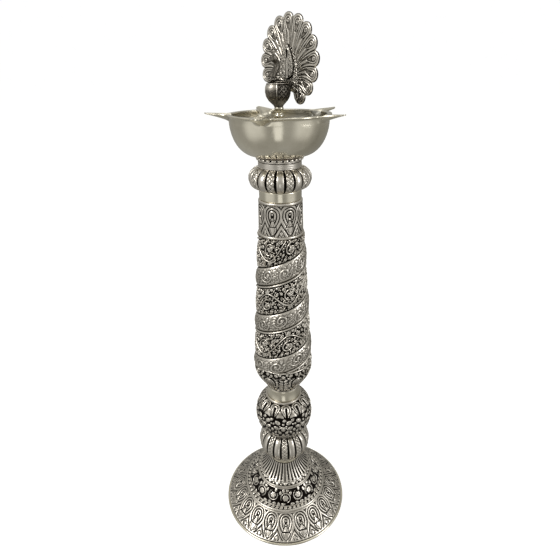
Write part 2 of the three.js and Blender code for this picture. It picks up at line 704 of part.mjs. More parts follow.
// Flat plate across the bird from an outline in Y and Z, between two places along X.
function plate(outline, front, thickness) {
  const shape = new THREE.Shape(outline.map(([y, z]) => new THREE.Vector2(y, z)));
  const geometry = new THREE.ExtrudeGeometry(shape, { depth: thickness, bevelEnabled: false });
  // the outline's plane turns upright: its X becomes Y, its Y becomes Z
  const basis = new THREE.Matrix4().set(0, 0, 1, front - thickness, 1, 0, 0, 0, 0, 1, 0, 0,
    0, 0, 0, 1);
  return geometry.applyMatrix4(basis);
}

function tailFan() {
  let fan = solid(plate(tailOutline(), tailFront, TAIL_THICKNESS));
  for (const y of rivets) {
    const hole = pin(RIVET_R + ROD_CLEARANCE, tailFront - TAIL_THICKNESS - 1, tailFront + 1, y,
      rivetZ);
    fan = fan.subtract(solid(hole));
  }
  return geometryOf(fan);
}
add("tail_fan", tailFan(), ANTIQUE, bird);

// Short feathers over the root of the tail, one raised drop-shaped plate.
function covertOutline() {
  const low = tailFoot + GAP;
  const steps = 14;
  return Array.from({ length: steps }, (_, i) => {
    const angle = (2 * Math.PI * i) / steps - Math.PI / 2;
    const rise = 0.5 + 0.5 * Math.sin(angle);
    return [COVERT_HALF_WIDTH * Math.cos(angle) * (1.15 - 0.6 * rise), low + COVERT_HEIGHT * rise];
  });
}
add("tail_coverts", plate(covertOutline(), tailFront + GAP + COVERT_THICKNESS, COVERT_THICKNESS),
  ANTIQUE, bird);

rivets.forEach((y, i) => {
  const back = tailFront - TAIL_THICKNESS;
  const headFront = back - GAP;
  const headBack = headFront - RIVET_HEAD_HEIGHT;
  const shank = solid(pin(RIVET_R, headBack + 1, tailFront + RIVET_REACH, y, rivetZ));
  const head = solid(pin(RIVET_HEAD_R, headBack, headFront, y, rivetZ));
  add("tail_rivet_" + (i + 1), geometryOf(shank.add(head)), POLISHED, bird);
});

// Crest: a small fan of plumes standing on the head, a plate in the bird's middle plane.
function crest() {
  const x = 0.7 * NECK_FORWARD;
  const foot = BODY_HEIGHT + GAP + 1.06 * HEAD_RISE + HEAD_R + GAP;
  const shape = new THREE.Shape();
  shape.moveTo(x + 1.2, foot);
  for (let i = 0; i < CREST_PLUMES; i++) {
    for (const [turn, reach] of [[-6, 0.8], [0, 1], [6, 0.8]]) {
      const angle = rad(55 + (70 * i) / (CREST_PLUMES - 1) + turn);
      shape.lineTo(x + CREST_REACH * reach * Math.cos(angle),
        foot + CREST_REACH * reach * Math.sin(angle));
    }
  }
  shape.lineTo(x - 1.2, foot);
  const geometry = new THREE.ExtrudeGeometry(shape, { depth: CREST_THICKNESS, bevelEnabled: false });
  return geometry.rotateX(Math.PI / 2).translate(0, CREST_THICKNESS / 2, 0);
}
add("crest", crest(), ANTIQUE, bird);

export default lamp;
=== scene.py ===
import math

import bpy
import numpy as np
from mathutils import Matrix, Vector


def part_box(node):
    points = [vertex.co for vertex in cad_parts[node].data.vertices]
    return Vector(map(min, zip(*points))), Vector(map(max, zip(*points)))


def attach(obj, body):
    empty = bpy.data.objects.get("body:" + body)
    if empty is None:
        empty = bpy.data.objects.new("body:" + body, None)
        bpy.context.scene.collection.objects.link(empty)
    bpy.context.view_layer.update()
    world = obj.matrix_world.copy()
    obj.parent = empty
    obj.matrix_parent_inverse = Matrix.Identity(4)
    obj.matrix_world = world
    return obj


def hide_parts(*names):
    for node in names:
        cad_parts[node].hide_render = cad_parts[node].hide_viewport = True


# Tall embossed standing oil lamp with a peacock finial.
# Shapes are worked out in millimetres and written to the meshes in metres. Angles run
# anticlockwise from +X seen from above, so the side that faces the photograph is at FRONT.
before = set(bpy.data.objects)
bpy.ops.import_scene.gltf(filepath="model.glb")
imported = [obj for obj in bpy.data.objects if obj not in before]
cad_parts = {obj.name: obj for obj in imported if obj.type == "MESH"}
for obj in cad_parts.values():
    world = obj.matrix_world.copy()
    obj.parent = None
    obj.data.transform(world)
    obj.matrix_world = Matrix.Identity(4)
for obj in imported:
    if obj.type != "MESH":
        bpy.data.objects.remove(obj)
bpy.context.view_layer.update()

TAU = 2 * math.pi
MM = 0.001
FRONT = math.radians(270)

# Clearances and walls
GAP = 0.3
WALL = 3.0

# Radii of the stand, which the frame's boxes give only for faceted solids
RIM_WIRE_R = 2.5
FOOT_R = 128.0
SKIRT_TOP_R = 83.5
SKIRT_FLARE = 1.07
OUTER_RING_R = 85.0
TIER_BOTTOM_R = 77.4
TIER_TOP_R = 57.0
INNER_RING_R = 58.0
CONE_BOTTOM_R = 56.0
CONE_TOP_R = 30.5
CONE_FLARE = 1.7
COLLAR_R = 31.0
BULB_NECK_R = 30.5
LOWER_BULB_R = 51.0
UPPER_BULB_R = 48.3
WAIST_R = 31.5
BALL_R = 54.8
BALL_MOUTH_R = 31.0
BALL_RING_R = 34.8
NECK_R = 31.8
CUP_TOP_R = 53.2
COLUMN_BOTTOM_R = 52.6
COLUMN_TOP_R = 37.0
LOWER_SLEEVE_RING_R = 37.4
UPPER_SLEEVE_RING_R = 34.8
SLEEVE_BOTTOM_R = 35.4
SLEEVE_TOP_R = 34.2
BAND_R = 33.0
TOP_COLLAR_R = 33.0
BEAD_RING_R = 35.0

# Counts of repeated ornament
FEATHERS_ROUND = 20
GADROONS = 56
TIER_FLOWER_PAIRS = 8
FLUTES = 20
RIBS = 20
BALL_BUDS = 8
BALL_LEAVES = 12
CUP_LEAVES = 6
SLEEVE_ARCHES = 8
BEADS = 24

# Radii at which the width of a repeat is taken
SKIRT_MIDDLE_R = 104.0
RING_MIDDLE_R = 80.0
TIER_MIDDLE_R = 68.0
CONE_MIDDLE_R = 50.0
BALL_LEAVES_R = 44.0
CUP_MIDDLE_R = 46.0
COLUMN_MIDDLE_R = 46.0

# How far the buds reach over the ball's seam, and the leaves of the cup over the column's foot
BUD_REACH = 22.0
CUP_REACH = 11.5

# Spiral of the column
SPIRAL_LEAD = 86.0
SPIRAL_BAND = 36.0
SPIRAL_START = 31.0

# Bowl
BOWL_FOOT_R = 33.0
BOWL_BODY_R = 71.9
BOWL_RIM_R = 75.0
BOWL_WALL = 2.0
BOWL_LIP = 2.3
RIM_WIDTH = 6.6
SPOUTS = 5
SPOUT_TIP_R = 106.0
SPOUT_DEPTH = 9.5
SPOUT_RISE = 2.5
SPOUT_HALF_ANGLE = 9.0
FIRST_SPOUT = 180.0

# Peacock
HEADING = math.radians(224)
BODY_HALF_LENGTH = 19.5
BODY_HALF_WIDTH = 16.0
TAIL_BACK = 20.0
TAIL_THICKNESS = 3.0
TAIL_HALF_WIDTH = 46.5
TAIL_HALF_HEIGHT = 49.5
TAIL_MIDDLE = 22.2
TAIL_FEATHERS = 15
FEATHER_STEP = math.radians(21.7)
FEATHER_TIP_R = 10.0


def span(node):
    """Lowest and highest point of a CAD node, in millimetres."""
    low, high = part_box(node)
    return low.z / MM, high.z / MM


# Ornament: height fields in millimetres over a surface unrolled to x, round the lamp, and y, up it
def ramp(value, low, high):
    """Smooth step from 0 at low to 1 at high."""
    t = np.clip((value - low) / (high - low), 0, 1)
    return t * t * (3 - 2 * t)


def bar(distance, width):
    """Rounded bar: 1 on its middle line, falling to 0 half a width away."""
    return np.clip(1 - (2 * distance / width) ** 2, 0, None)


class Chasing:
    """Raised ornament over a ground, repeated along x with a period."""

    def __init__(self, x, y, period, ground):
        self.x, self.y, self.period, self.ground = x, y, period, ground
        self.height = np.full(np.shape(x), float(ground))

    def about(self, cx, cy, angle=0):
        """Coordinates about a point, along and across a direction in degrees."""
        dx = (self.x - cx + self.period / 2) % self.period - self.period / 2
        dy = self.y - cy
        c, s = math.cos(math.radians(angle)), math.sin(math.radians(angle))
        return dx * c + dy * s, dy * c - dx * s

    def lay(self, height, where):
        """Puts a shape on the field where it stands higher than what is there."""
        self.height = np.where(where, np.maximum(self.height, height), self.height)

    def stroke(self, distance, width, height, where=True):
        """Puts a rounded bar along a line, given by the distance from it."""
        self.lay(height * bar(distance, width), where & (distance < width / 2))

    def dome(self, cx, cy, rx, ry, height, angle=0):
        u, v = self.about(cx, cy, angle)
        inside = 1 - (u / rx) ** 2 - (v / ry) ** 2
        self.lay(height * np.clip(inside, 0, None) ** 0.55, inside > 0)

    def bead(self, cx, cy, r, height):
        self.dome(cx, cy, r, r, height)

    def leaf(self, cx, cy, length, width, angle, height, vein=0.45):
        """Pointed leaf from its foot, with a sunk vein."""
        u, v = self.about(cx, cy, angle)
        t = np.clip(u / length, 0, 1)
        half = 0.5 * width * np.sin(math.pi * t ** 0.7)
        inside = (half > 0.05) & (np.abs(v) < half)
        across = np.where(inside, v / np.maximum(half, 0.05), 0)
        rise = (1 - across ** 2) ** 0.6 * (0.55 + 0.45 * np.sin(math.pi * t))
        sunk = vein * bar(v, 1.5) * ramp(t, 0.02, 0.2) * (1 - ramp(t, 0.6, 0.9))
        self.lay(height * (rise - sunk), inside)

    def spray(self, cx, cy, length, width, angle, height, spread=38):
        """Three leaves from one foot, the middle one the longest."""
        for turn, share in ((-spread, 0.8), (0, 1.0), (spread, 0.8)):
            self.leaf(cx, cy, share * length, width, angle + turn, height)

    def trefoil(self, cx, cy, r, angle, height):
        """Bud of three round lobes."""
        for turn in (angle - 105, angle, angle + 105):
            a = math.radians(turn)
            self.dome(cx + 0.62 * r * math.cos(a), cy + 0.62 * r * math.sin(a),
                      0.62 * r, 0.46 * r, height, turn)

    def ring(self, cx, cy, r, width, height):
        u, v = self.about(cx, cy)
        self.stroke(np.abs(np.hypot(u, v) - r), width, height)

    def arc(self, cx, cy, r, start, end, width, height):
        """Bar along part of a circle, from one angle on to another, in degrees."""
        u, v = self.about(cx, cy)
        turn = (np.degrees(np.arctan2(v, u)) - start) % 360
        taper = 0.4 + 0.6 * np.sin(math.pi * np.clip(turn / (end - start), 0, 1))
        self.stroke(np.abs(np.hypot(u, v) - r), width * taper, height, turn < end - start)

    def curl(self, cx, cy, r, turns, angle, width, height, hand=1):
        """Bar along a spiral that winds in from radius r."""
        u, v = self.about(cx, cy)
        out = np.hypot(u, v)
        turn = (hand * (np.arctan2(v, u) - math.radians(angle))) / TAU % 1
        distance = np.full(out.shape, 1e3)
        for lap in range(math.ceil(turns) + 1):
            wound = turn + lap
            line = r * (1 - 0.85 * wound / turns)
            distance = np.where(wound <= turns, np.minimum(distance, np.abs(out - line)), distance)
        self.stroke(distance, width, height)

    def wave(self, middle, swing, period, phase, width, height):
        """Bar along a sine line."""
        turn = TAU * self.x / period + phase
        slope = swing * TAU / period * np.cos(turn)
        distance = np.abs(self.y - middle - swing * np.sin(turn)) / np.hypot(1, slope)
        self.stroke(distance, width, height)

    def rosette(self, cx, cy, r, petals, height):
        """Flower of round petals about a bead."""
        u, v = self.about(cx, cy)
        out, turn = np.hypot(u, v), np.arctan2(v, u)
        edge = r * (0.78 + 0.22 * np.abs(np.cos(0.5 * petals * turn)) ** 0.7)
        petal = np.clip(1 - (out / edge) ** 4, 0, 1) ** 0.5
        gap = 0.55 * (1 - np.abs(np.cos(0.5 * petals * turn)) ** 0.5)
        self.lay(height * petal * (1 - gap) * ramp(out, 0.1 * r, 0.45 * r), out < edge)
        self.bead(cx, cy, 0.3 * r, height * 1.05)

    def bare_spots(self, low, high, kinds):
        """Spots of a staggered grid about which the ground is still bare, for each kind of piece
        in turn: its number, the spot, an angle that differs from spot to spot, and a hand."""
        for kind, (size, spacing) in enumerate(kinds):
            columns, rows = int(self.period / spacing), int((high - low) / spacing)
            for j, i in np.ndindex(rows, columns):
                cx = (i + 0.5 * (j % 2)) * self.period / columns
                cy = low + (j + 0.5) * (high - low) / rows
                near = np.hypot(*self.about(cx, cy)) < size
                if near.any() and self.height[near].max() < self.ground + 0.05:
                    yield kind, cx, cy, (137 * i + 71 * j) % 360, 1 if (i + j) % 2 else -1

    def fill(self, low, high, height, kinds=3):
        """Sows leaves, then buds, then beads where the ground is still bare."""
        sizes = ((4.1, 4.2), (2.7, 2.9), (1.5, 2.2))[:kinds]
        for kind, cx, cy, turn, _ in self.bare_spots(low, high, sizes):
            if kind == 0:
                back = math.radians(turn)
                self.leaf(cx - 4 * math.cos(back), cy - 4 * math.sin(back), 8.4, 5.6, turn, height)
            elif kind == 1:
                self.dome(cx, cy, 2.9, 2.1, 0.95 * height, turn)
            else:
                self.bead(cx, cy, 1.3, 0.8 * height)


def onion(x, y, r, foot):
    """Distance that is 1 on a drop: a half circle of radius r over y = 0, drawn to a point foot below."""
    fall = np.clip(-y / foot, 0, 0.98)
    width = r * np.cos(0.5 * math.pi * fall) ** 0.9
    return np.where(y >= 0, np.hypot(x, y) / r, np.abs(x) / width)


# Feather of the sleeve, as measured there; other feathers scale it by their width
FEATHER_WIDTH = 27.3
EYE_BEND = 6.0
RING_LINES = ((4.4, 3.4), (9.0, 2.9))
BARBS_FROM = 10.9
BARB_PITCH = 5.2


def feather_arch(x, y, width, height):
    """Rings round an eye, which run on below it as barbs that rise outward from a stem of shields."""
    scale = width / FEATHER_WIDTH
    away, up, tall = np.abs(x) / scale, y / scale, height / scale
    eye = 0.73 * tall
    below = np.clip(eye - up, 0, None)
    bent = 1 - np.exp(-below / EYE_BEND)
    lines = away * (1 - 0.134 * bent) + 0.5 * (below - EYE_BEND * bent)
    lines = np.where(up > eye, np.hypot(away, up - eye), lines)
    field = np.full(np.shape(x), -0.6)
    phase = ((lines - BARBS_FROM) / BARB_PITCH) % 1
    field = np.where(lines > BARBS_FROM, 1.5 * np.sin(math.pi * phase) ** 0.8 - 0.8, field)
    for at, wide in RING_LINES:
        near = np.abs(lines - at)
        field = np.where(near < 0.5 * wide, 1.3 * bar(near, wide) ** 0.6 - 0.6, field)
    field = np.where(np.hypot(away, up - eye) < 1.3, 0.3, field)
    # stem: a lozenge on a bell on a pointed shield, each in a dark outline
    shapes = (
        (0.51, 0.63, lambda t: 2.6 * (1 - np.abs(2 * t - 1))),
        (0.33, 0.52, lambda t: 1.4 + 3.4 * (1 - t) ** 1.3),
        (0.04, 0.31, lambda t: 6.2 * (1 - (1 - t) ** 2.4) * (1 - 0.16 * ramp(t, 0.86, 1.0))),
    )
    for low, high, half_at in shapes:
        t = np.clip((up / tall - low) / (high - low), 0, 1)
        half = np.maximum(half_at(t), 0.05)
        margin = 1.3 / tall
        around = (up / tall > low - margin) & (up / tall < high + margin) & (away < half + 1.3)
        within = (up / tall > low) & (up / tall < high) & (away < half)
        field = np.where(around, -0.8, field)
        dome = 0.9 * (1 - np.clip(away / half, 0, 1) ** 4) ** 0.5
        inset = 0.9 * bar(half - away - 2.1, 1.2) * (half > 3)
        field = np.where(within, dome - inset, field)
    # lozenge at the bottom of the line between two feathers
    side = 0.5 * FEATHER_WIDTH - away
    lozenge = 1 - side / 3.2 - np.abs(up - 0.1 * tall) / 4.2
    field = np.where(lozenge > -0.35, -0.7, field)
    field = np.where(lozenge > 0, 0.85 * np.clip(lozenge, 0, 1) ** 0.4, field)
    return field


def lotus_leaves(x, y, width, height):
    """Upright drops in rings, each round a dark eye on a dark stem, with leaf tips between them."""
    half, head = 0.5 * width, 0.62 * height
    ring_pitch, eye_r, black = 4.1, 2.3, -1.7
    reach = min(0.98 * half, 0.42 * height)
    drop = onion(x, y - head, reach, 0.72 * height)
    phase = ((1 - drop) * reach / ring_pitch) % 1
    field = np.where(drop < 1.0, 1.9 * np.sin(math.pi * phase) ** 0.8 - 1.0, -1.1)
    stem = 1.3 + 1.0 * (1 - y / height)
    field = np.where((np.abs(x) < stem) & (y < head), black, field)
    field = np.where(np.hypot(x, y - head) < eye_r, black, field)
    tip = 1 - (half - np.abs(x)) / (0.42 * half * (1 - 1.1 * y / height) + 0.1)
    rising_tip = (tip > 0) & (y < 0.5 * height)
    return np.where(rising_tip, 0.8 * np.clip(tip, 0, 1) ** 0.5, field)


# Finishes: made from object-space noise and the meshes' own patina and inside_dulling attributes
class Nodes:
    """Adds and links the nodes of a material or a world."""

    def __init__(self, tree):
        self.nodes, self.links = tree.nodes, tree.links

    def add(self, kind, **values):
        node = self.nodes.new(kind)
        for key, value in values.items():
            setattr(node, key, value)
        return node

    def feed(self, node, index, value):
        """Puts a number, or another node's output, on an input."""
        if isinstance(value, (int, float)):
            node.inputs[index].default_value = value
        else:
            self.links.new(value, node.inputs[index])

    def maths(self, operation, a, b=0.0):
        node = self.add("ShaderNodeMath", operation=operation)
        self.feed(node, 0, a)
        self.feed(node, 1, b)
        return node.outputs[0]

    def spread(self, value, low, high, new_low, new_high, kind="LINEAR"):
        """Stretches one range of a value to another."""
        node = self.add("ShaderNodeMapRange", interpolation_type=kind)
        for index, number in enumerate((value, low, high, new_low, new_high)):
            self.feed(node, index, number)
        return node.outputs[0]

    def colour_by(self, value, stops):
        """Colour that a value picks between stops of a place and a colour each."""
        node = self.add("ShaderNodeValToRGB")
        elements = node.color_ramp.elements
        while len(elements) < len(stops):
            elements.new(0.5)
        for element, (at, colour) in zip(elements, stops):
            element.position = at
            element.color = (*colour, 1)
        self.feed(node, 0, value)
        return node.outputs["Color"]


class Finish(Nodes):
    """Node material about one principled shader."""

    def __init__(self, name, metallic):
        self.material = bpy.data.materials.new(name)
        self.material.use_nodes = True
        super().__init__(self.material.node_tree)
        self.nodes.clear()
        self.shader = self.add("ShaderNodeBsdfPrincipled")
        self.shader.inputs["Metallic"].default_value = metallic
        output = self.add("ShaderNodeOutputMaterial")
        self.links.new(self.shader.outputs["BSDF"], output.inputs["Surface"])
        self.place = self.add("ShaderNodeTexCoord").outputs["Object"]

    def attribute(self, name):
        return self.add("ShaderNodeAttribute", attribute_name=name).outputs["Fac"]

    def noise(self, scale, detail=4.0, stretch=None):
        node = self.add("ShaderNodeTexNoise")
        node.inputs["Scale"].default_value = scale
        node.inputs["Detail"].default_value = detail
        place = self.place
        if stretch:
            mapping = self.add("ShaderNodeMapping")
            mapping.inputs["Scale"].default_value = stretch
            self.links.new(place, mapping.inputs["Vector"])
            place = mapping.outputs["Vector"]
        self.links.new(place, node.inputs["Vector"])
        return node.outputs["Fac"]

    def colours(self, value, stops):
        self.feed(self.shader, "Base Color", self.colour_by(value, stops))

    def bump(self, height, distance, strength=1.0):
        node = self.add("ShaderNodeBump")
        node.inputs["Strength"].default_value = strength
        node.inputs["Distance"].default_value = distance
        self.links.new(height, node.inputs["Height"])
        self.links.new(node.outputs["Normal"], self.shader.inputs["Normal"])


def antique_silver():
    """Silver plate, worn bright on its high points and nearly black in its recesses."""
    finish = Finish("antique_silver", 1.0)
    worn = finish.attribute("patina")
    clouds = finish.spread(finish.noise(34, 5), 0.3, 0.7, -0.13, 0.13)
    specks = finish.spread(finish.noise(620, 3), 0.3, 0.7, -0.12, 0.12)
    level = finish.maths("ADD", finish.maths("ADD", worn, clouds), specks)
    share = finish.spread(level, -0.85, 0.85, 0.0, 1.0)
    finish.colours(share, [
        (0.0, (0.009, 0.0075, 0.006)), (0.22, (0.028, 0.025, 0.020)), (0.38, (0.11, 0.10, 0.085)),
        (0.5, (0.30, 0.278, 0.240)), (0.68, (0.50, 0.467, 0.412)), (0.9, (0.74, 0.70, 0.63)),
    ])
    roughness = finish.spread(level, -0.6, 0.8, 0.55, 0.24)
    finish.feed(finish.shader, "Roughness", roughness)
    pits = finish.maths("ADD", finish.noise(1300, 2), finish.noise(260, 4))
    finish.bump(pits, 0.0001, 0.4)
    return finish.material


def polished_nickel():
    """Warm, hand-polished plate with fine rubbing marks, shallow dents and dull stains."""
    finish = Finish("polished_nickel", 1.0)
    stains = finish.noise(26, 5)
    # the colour is darker and the surface duller where inside_dulling is set, inside the bowl
    inside_dulling = finish.attribute("inside_dulling")
    finish.colours(finish.maths("SUBTRACT", finish.spread(stains, 0.32, 0.7, 0.5, 1.0), inside_dulling), [
        (0.0, (0.30, 0.30, 0.285)), (0.5, (0.70, 0.655, 0.535)), (0.7, (0.80, 0.755, 0.625)),
        (0.875, (0.86, 0.815, 0.68)), (1.0, (0.90, 0.86, 0.73)),
    ])
    rubbed = finish.noise(1, 3, (70, 70, 2200))
    roughness = finish.spread(finish.maths("ADD", stains, rubbed), 0.6, 1.4, 0.10, 0.22)
    dull = finish.maths("MULTIPLY", inside_dulling, 0.45)
    finish.feed(finish.shader, "Roughness", finish.maths("ADD", roughness, dull))
    dents = finish.maths("ADD", finish.maths("MULTIPLY", finish.noise(22, 2), 14.0), rubbed)
    finish.bump(dents, 0.00006, 0.6)
    return finish.material


def plain_finish(name, metallic, dark, light, rough, scale, depth):
    """Finish of the inner pieces: mottled between two colours, with a fine grain."""
    finish = Finish(name, metallic)
    mottle = finish.noise(scale, 6)
    finish.colours(finish.spread(mottle, 0.3, 0.7, 0.0, 1.0), [(0.0, dark), (1.0, light)])
    finish.feed(finish.shader, "Roughness", finish.spread(mottle, 0.3, 0.7, rough - 0.08, rough + 0.08))
    finish.bump(finish.noise(scale * 9, 4), depth, 0.5)
    return finish.material


# Metallic, dark and light tone, roughness, scale of the mottling, depth of the grain in metres
PLAIN_FINISHES = {
    "dark_metal": (1.0, (0.03, 0.028, 0.025), (0.10, 0.095, 0.085), 0.5, 90, 0.0001),
    "steel_hardware": (1.0, (0.36, 0.36, 0.37), (0.56, 0.56, 0.57), 0.34, 140, 0.00005),
    "leather_washer": (0.0, (0.05, 0.026, 0.013), (0.13, 0.075, 0.04), 0.78, 260, 0.0003),
}
FINISHES = {"antique_silver": antique_silver(), "polished_nickel": polished_nickel()}
FINISHES.update((name, plain_finish(name, *values)) for name, values in PLAIN_FINISHES.items())


# Meshes
def circle(count):
    """Angles of so many even steps round a circle."""
    return TAU * np.arange(count) / count


def revolved(r, z, columns):
    """Rows of points round the axis, from a radius and a height for each row or each point."""
    turn = circle(columns)
    return np.dstack([r * np.cos(turn), r * np.sin(turn), np.broadcast_to(z, (len(z), columns))])


def grid_mesh(name, points, looped, patina=None):
    """Closed body from rows of points in millimetres that run round it.
    Looped rows join the last to the first, others are capped at both ends."""
    count, columns, _ = points.shape
    index = np.arange(count * columns).reshape(count, columns)
    lower = index if looped else index[:-1]
    upper = np.roll(index, -1, axis=0) if looped else index[1:]
    quads = np.stack([lower, np.roll(lower, -1, 1), np.roll(upper, -1, 1), upper], -1).reshape(-1, 4)
    bands = len(lower)
    u0 = np.tile(np.arange(columns) / columns, bands)
    v0 = np.repeat(np.arange(bands) / bands, columns) * 0.96
    u1, v1 = u0 + 1 / columns, v0 + 0.96 / bands
    maps = np.stack([u0, v0, u1, v0, u1, v1, u0, v1], -1).reshape(-1, 2)
    loops, starts = quads.ravel(), np.arange(0, 4 * len(quads), 4)
    if not looped:
        turn = circle(columns)
        for ring, middle in ((index[0][::-1], 0.25), (index[-1], 0.75)):
            starts = np.append(starts, len(loops))
            loops = np.append(loops, ring)
            disc = np.column_stack([middle + 0.01 * np.cos(turn), 0.98 + 0.01 * np.sin(turn)])
            maps = np.vstack([maps, disc])
    mesh = bpy.data.meshes.new(name + "_detail")
    mesh.vertices.add(count * columns)
    mesh.vertices.foreach_set("co", (points * MM).astype(np.float32).ravel())
    mesh.loops.add(len(loops))
    mesh.loops.foreach_set("vertex_index", loops.astype(np.int32))
    mesh.polygons.add(len(starts))
    mesh.polygons.foreach_set("loop_start", starts.astype(np.int32))
    mesh.update(calc_edges=True)
    layer = mesh.uv_layers.new(name="OFBake")
    layer.data.foreach_set("uv", maps.astype(np.float32).ravel())
    mesh.polygons.foreach_set("use_smooth", np.ones(len(starts), bool))
    mesh.set_sharp_from_angle(angle=math.radians(62))
    shade = np.zeros(count * columns) if patina is None else np.asarray(patina).ravel()
    mesh.attributes.new("patina", "FLOAT", "POINT").data.foreach_set("value", shade.astype(np.float32))
    return mesh


def piece(mesh, finish, body, node):
    """Object on a body, in a finish that is named as its slot, standing for a CAD node."""
    thing = bpy.data.objects.new(mesh.name, mesh)
    bpy.context.scene.collection.objects.link(thing)
    mesh.materials.append(FINISHES[finish])
    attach(thing, body)
    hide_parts(node)


def resampled(line, count):
    """A line of [r, z] as count + 1 evenly spaced points, and its length."""
    line = np.asarray(line, float)
    steps = np.hypot(*np.diff(line, axis=0).T)
    run = np.concatenate([[0], np.cumsum(steps)])
    even = np.linspace(0, run[-1], count + 1)
    return np.column_stack([np.interp(even, run, line[:, k]) for k in (0, 1)]), run[-1]


def rising(low, high, radius_at, steps=240):
    """Line of [r, z] from one height to another, by a formula of the share of the height."""
    t = np.linspace(0, 1, steps + 1)
    return np.column_stack([radius_at(t), low + (high - low) * t])


def blurred(field, across, along):
    """Field softened over so many cells across, where it repeats, and along, where it ends."""
    padded = np.concatenate([field[::-1], field, field[::-1]])
    fy = np.fft.fftfreq(padded.shape[0])[:, None]
    fx = np.fft.rfftfreq(padded.shape[1])[None, :]
    window = np.exp(-2 * math.pi ** 2 * ((across * fx) ** 2 + (along * fy) ** 2))
    return np.fft.irfft2(np.fft.rfft2(padded) * window, padded.shape)[len(field):2 * len(field)]


# Patina: from -1 in recesses, where polish doesn't reach, to 1 on the worn high points
BACK_PATINA = -0.6
GROUND_PATINA = -0.6
GROUND_DEPTH = (0.35, 1.1)


def patina_of(height, cell_across, cell_along, reach=2.0, strength=2.2, shade=0.0):
    """Patina by how far a place stands over its surroundings within reach, darker on low ground."""
    local = height - blurred(height, reach / cell_across, reach / cell_along)
    return np.clip(strength * local + GROUND_PATINA * ramp(-height, *GROUND_DEPTH) + shade, -1, 1)


def turned_grid(line, columns, rows, ornament=None, shade=0.0, depth=1.0, **cutoff):
    """Points and patina of an ornamented line that is turned round the axis.
    The relief stands out by its height times depth; cutoff goes to the patina."""
    line, length = resampled(line, rows)
    slope = np.gradient(line, axis=0)
    slope /= np.hypot(slope[:, 0], slope[:, 1])[:, None]
    azimuth, run = np.meshgrid(circle(columns), np.linspace(0, length, rows + 1))
    height = np.zeros(azimuth.shape) if ornament is None else ornament(azimuth, run, length)
    girth = TAU * line[:, 0].mean()
    shade = shade(azimuth, run) if callable(shade) else shade
    patina = patina_of(height, girth / columns, length / rows, shade=shade, **cutoff)
    r = line[:, :1] + depth * height * slope[:, 1:]
    z = line[:, 1:] - depth * height * slope[:, :1]
    return revolved(r, z, columns), patina


def closed_mesh(name, points, patina, back):
    """Closed body of an ornamented face and a plain back of [r, z] that closes its section."""
    columns = points.shape[1]
    plain = np.asarray(back, float)
    behind = revolved(plain[:, :1], plain[:, 1:], columns)
    patina = np.vstack([patina, np.full((len(plain), columns), BACK_PATINA)])
    return grid_mesh(name, np.concatenate([points, behind]), True, patina)


def turned_piece(name, line, back, columns, rows, ornament=None, finish="antique_silver",
                 body="stand", **look):
    """Closed body of revolution, standing for the node of its name: an ornamented line, and a
    plain back that closes its section."""
    points, patina = turned_grid(line, columns, rows, ornament, **look)
    piece(closed_mesh(name, points, patina, back), finish, body, name)


def shell(name, line, columns, rows, ornament, wall=WALL, **look):
    """Shell whose back is the same line, drawn in by the wall."""
    inside, _ = resampled(line, 6)
    turned_piece(name, line, (inside - [wall, 0])[::-1], columns, rows, ornament, **look)


def rising_shell(name, radius_at, columns, rows, ornament, wall=WALL, **look):
    """Shell as high as its node, its radius a formula of the share of the height."""
    shell(name, rising(*span(name), radius_at), columns, rows, ornament, wall, **look)


def tapered(bottom_r, top_r):
    """Straight slope from one radius to another, for rising."""
    return lambda t: bottom_r + (top_r - bottom_r) * t


def cell(azimuth, count, middle=FRONT):
    """Share of a repeat that a place lies from its middle line, from -0.5 to 0.5."""
    return ((azimuth - middle) * count / TAU + 0.5) % 1 - 0.5


def ends(run, length, fade):
    """1 over the middle of a line, falling to 0 at both its ends."""
    return ramp(run, 0, fade) * ramp(length - run, 0, fade)


def repeats(azimuth, y, count, radius, ground, middle=FRONT):
    """Bare ground for ornament that repeats round the lamp, with its period taken at a radius."""
    period = TAU * radius / count
    return Chasing(cell(azimuth, count, middle) * period, y, period, ground)


def edge_cord(field, edge, reach, middle, height=0.6, ground=0.4):
    """Field with a low cord along its edge, by the distance from that."""
    return np.where(edge < reach, height * bar(edge - middle, 2.0) - ground, field)


def bow(r, z, across, up, start, end, count):
    """Line along an ellipse about [r, z], from one angle to another in degrees."""
    angle = np.radians(np.linspace(start, end, count))
    return np.column_stack([r + across * np.cos(angle), z + up * np.sin(angle)])


# Foot
def rim_dents(azimuth, run, length):
    """Slight unevenness of the rolled rim."""
    return 0.05 * np.sin(7 * azimuth) + 0.04 * np.sin(23 * azimuth + 1)


def foot_ring():
    low, high = span("foot_ring")
    middle = FOOT_R - RIM_WIRE_R - 0.2
    wire = bow(middle, RIM_WIRE_R, RIM_WIRE_R, RIM_WIRE_R, -115, 120, 40)
    wire[:, 1] = np.maximum(wire[:, 1], low + 0.1)
    flange, plate_top = middle - RIM_WIRE_R - 5, 3.1
    back = [[flange, high - 0.4], [flange, plate_top], [middle - RIM_WIRE_R, plate_top],
            [middle - 0.8 * RIM_WIRE_R, 0.5]]
    turned_piece("foot_ring", wire, back, 480, 22, rim_dents, "polished_nickel", strength=0)


def skirt_feathers(azimuth, run, length):
    """Feathers between a groove with a cord at the foot and a cord at the top."""
    width = TAU * SKIRT_MIDDLE_R / FEATHERS_ROUND
    x = cell(azimuth, FEATHERS_ROUND) * width
    margin = 3.2
    tall = length - 2 * margin
    y = run - margin
    inside = (y > 0) & (y < tall)
    field = np.where(inside, feather_arch(x, np.clip(y, 0, tall), width, tall), 0.1)
    field = np.where(run < 1.9, -1.9, field)
    field = np.where(np.abs(run - 2.7) < 0.8, 0.5, field)
    field = np.where(np.abs(length - run - 1.6) < 1.1, 0.6, field)
    return 0.85 * field


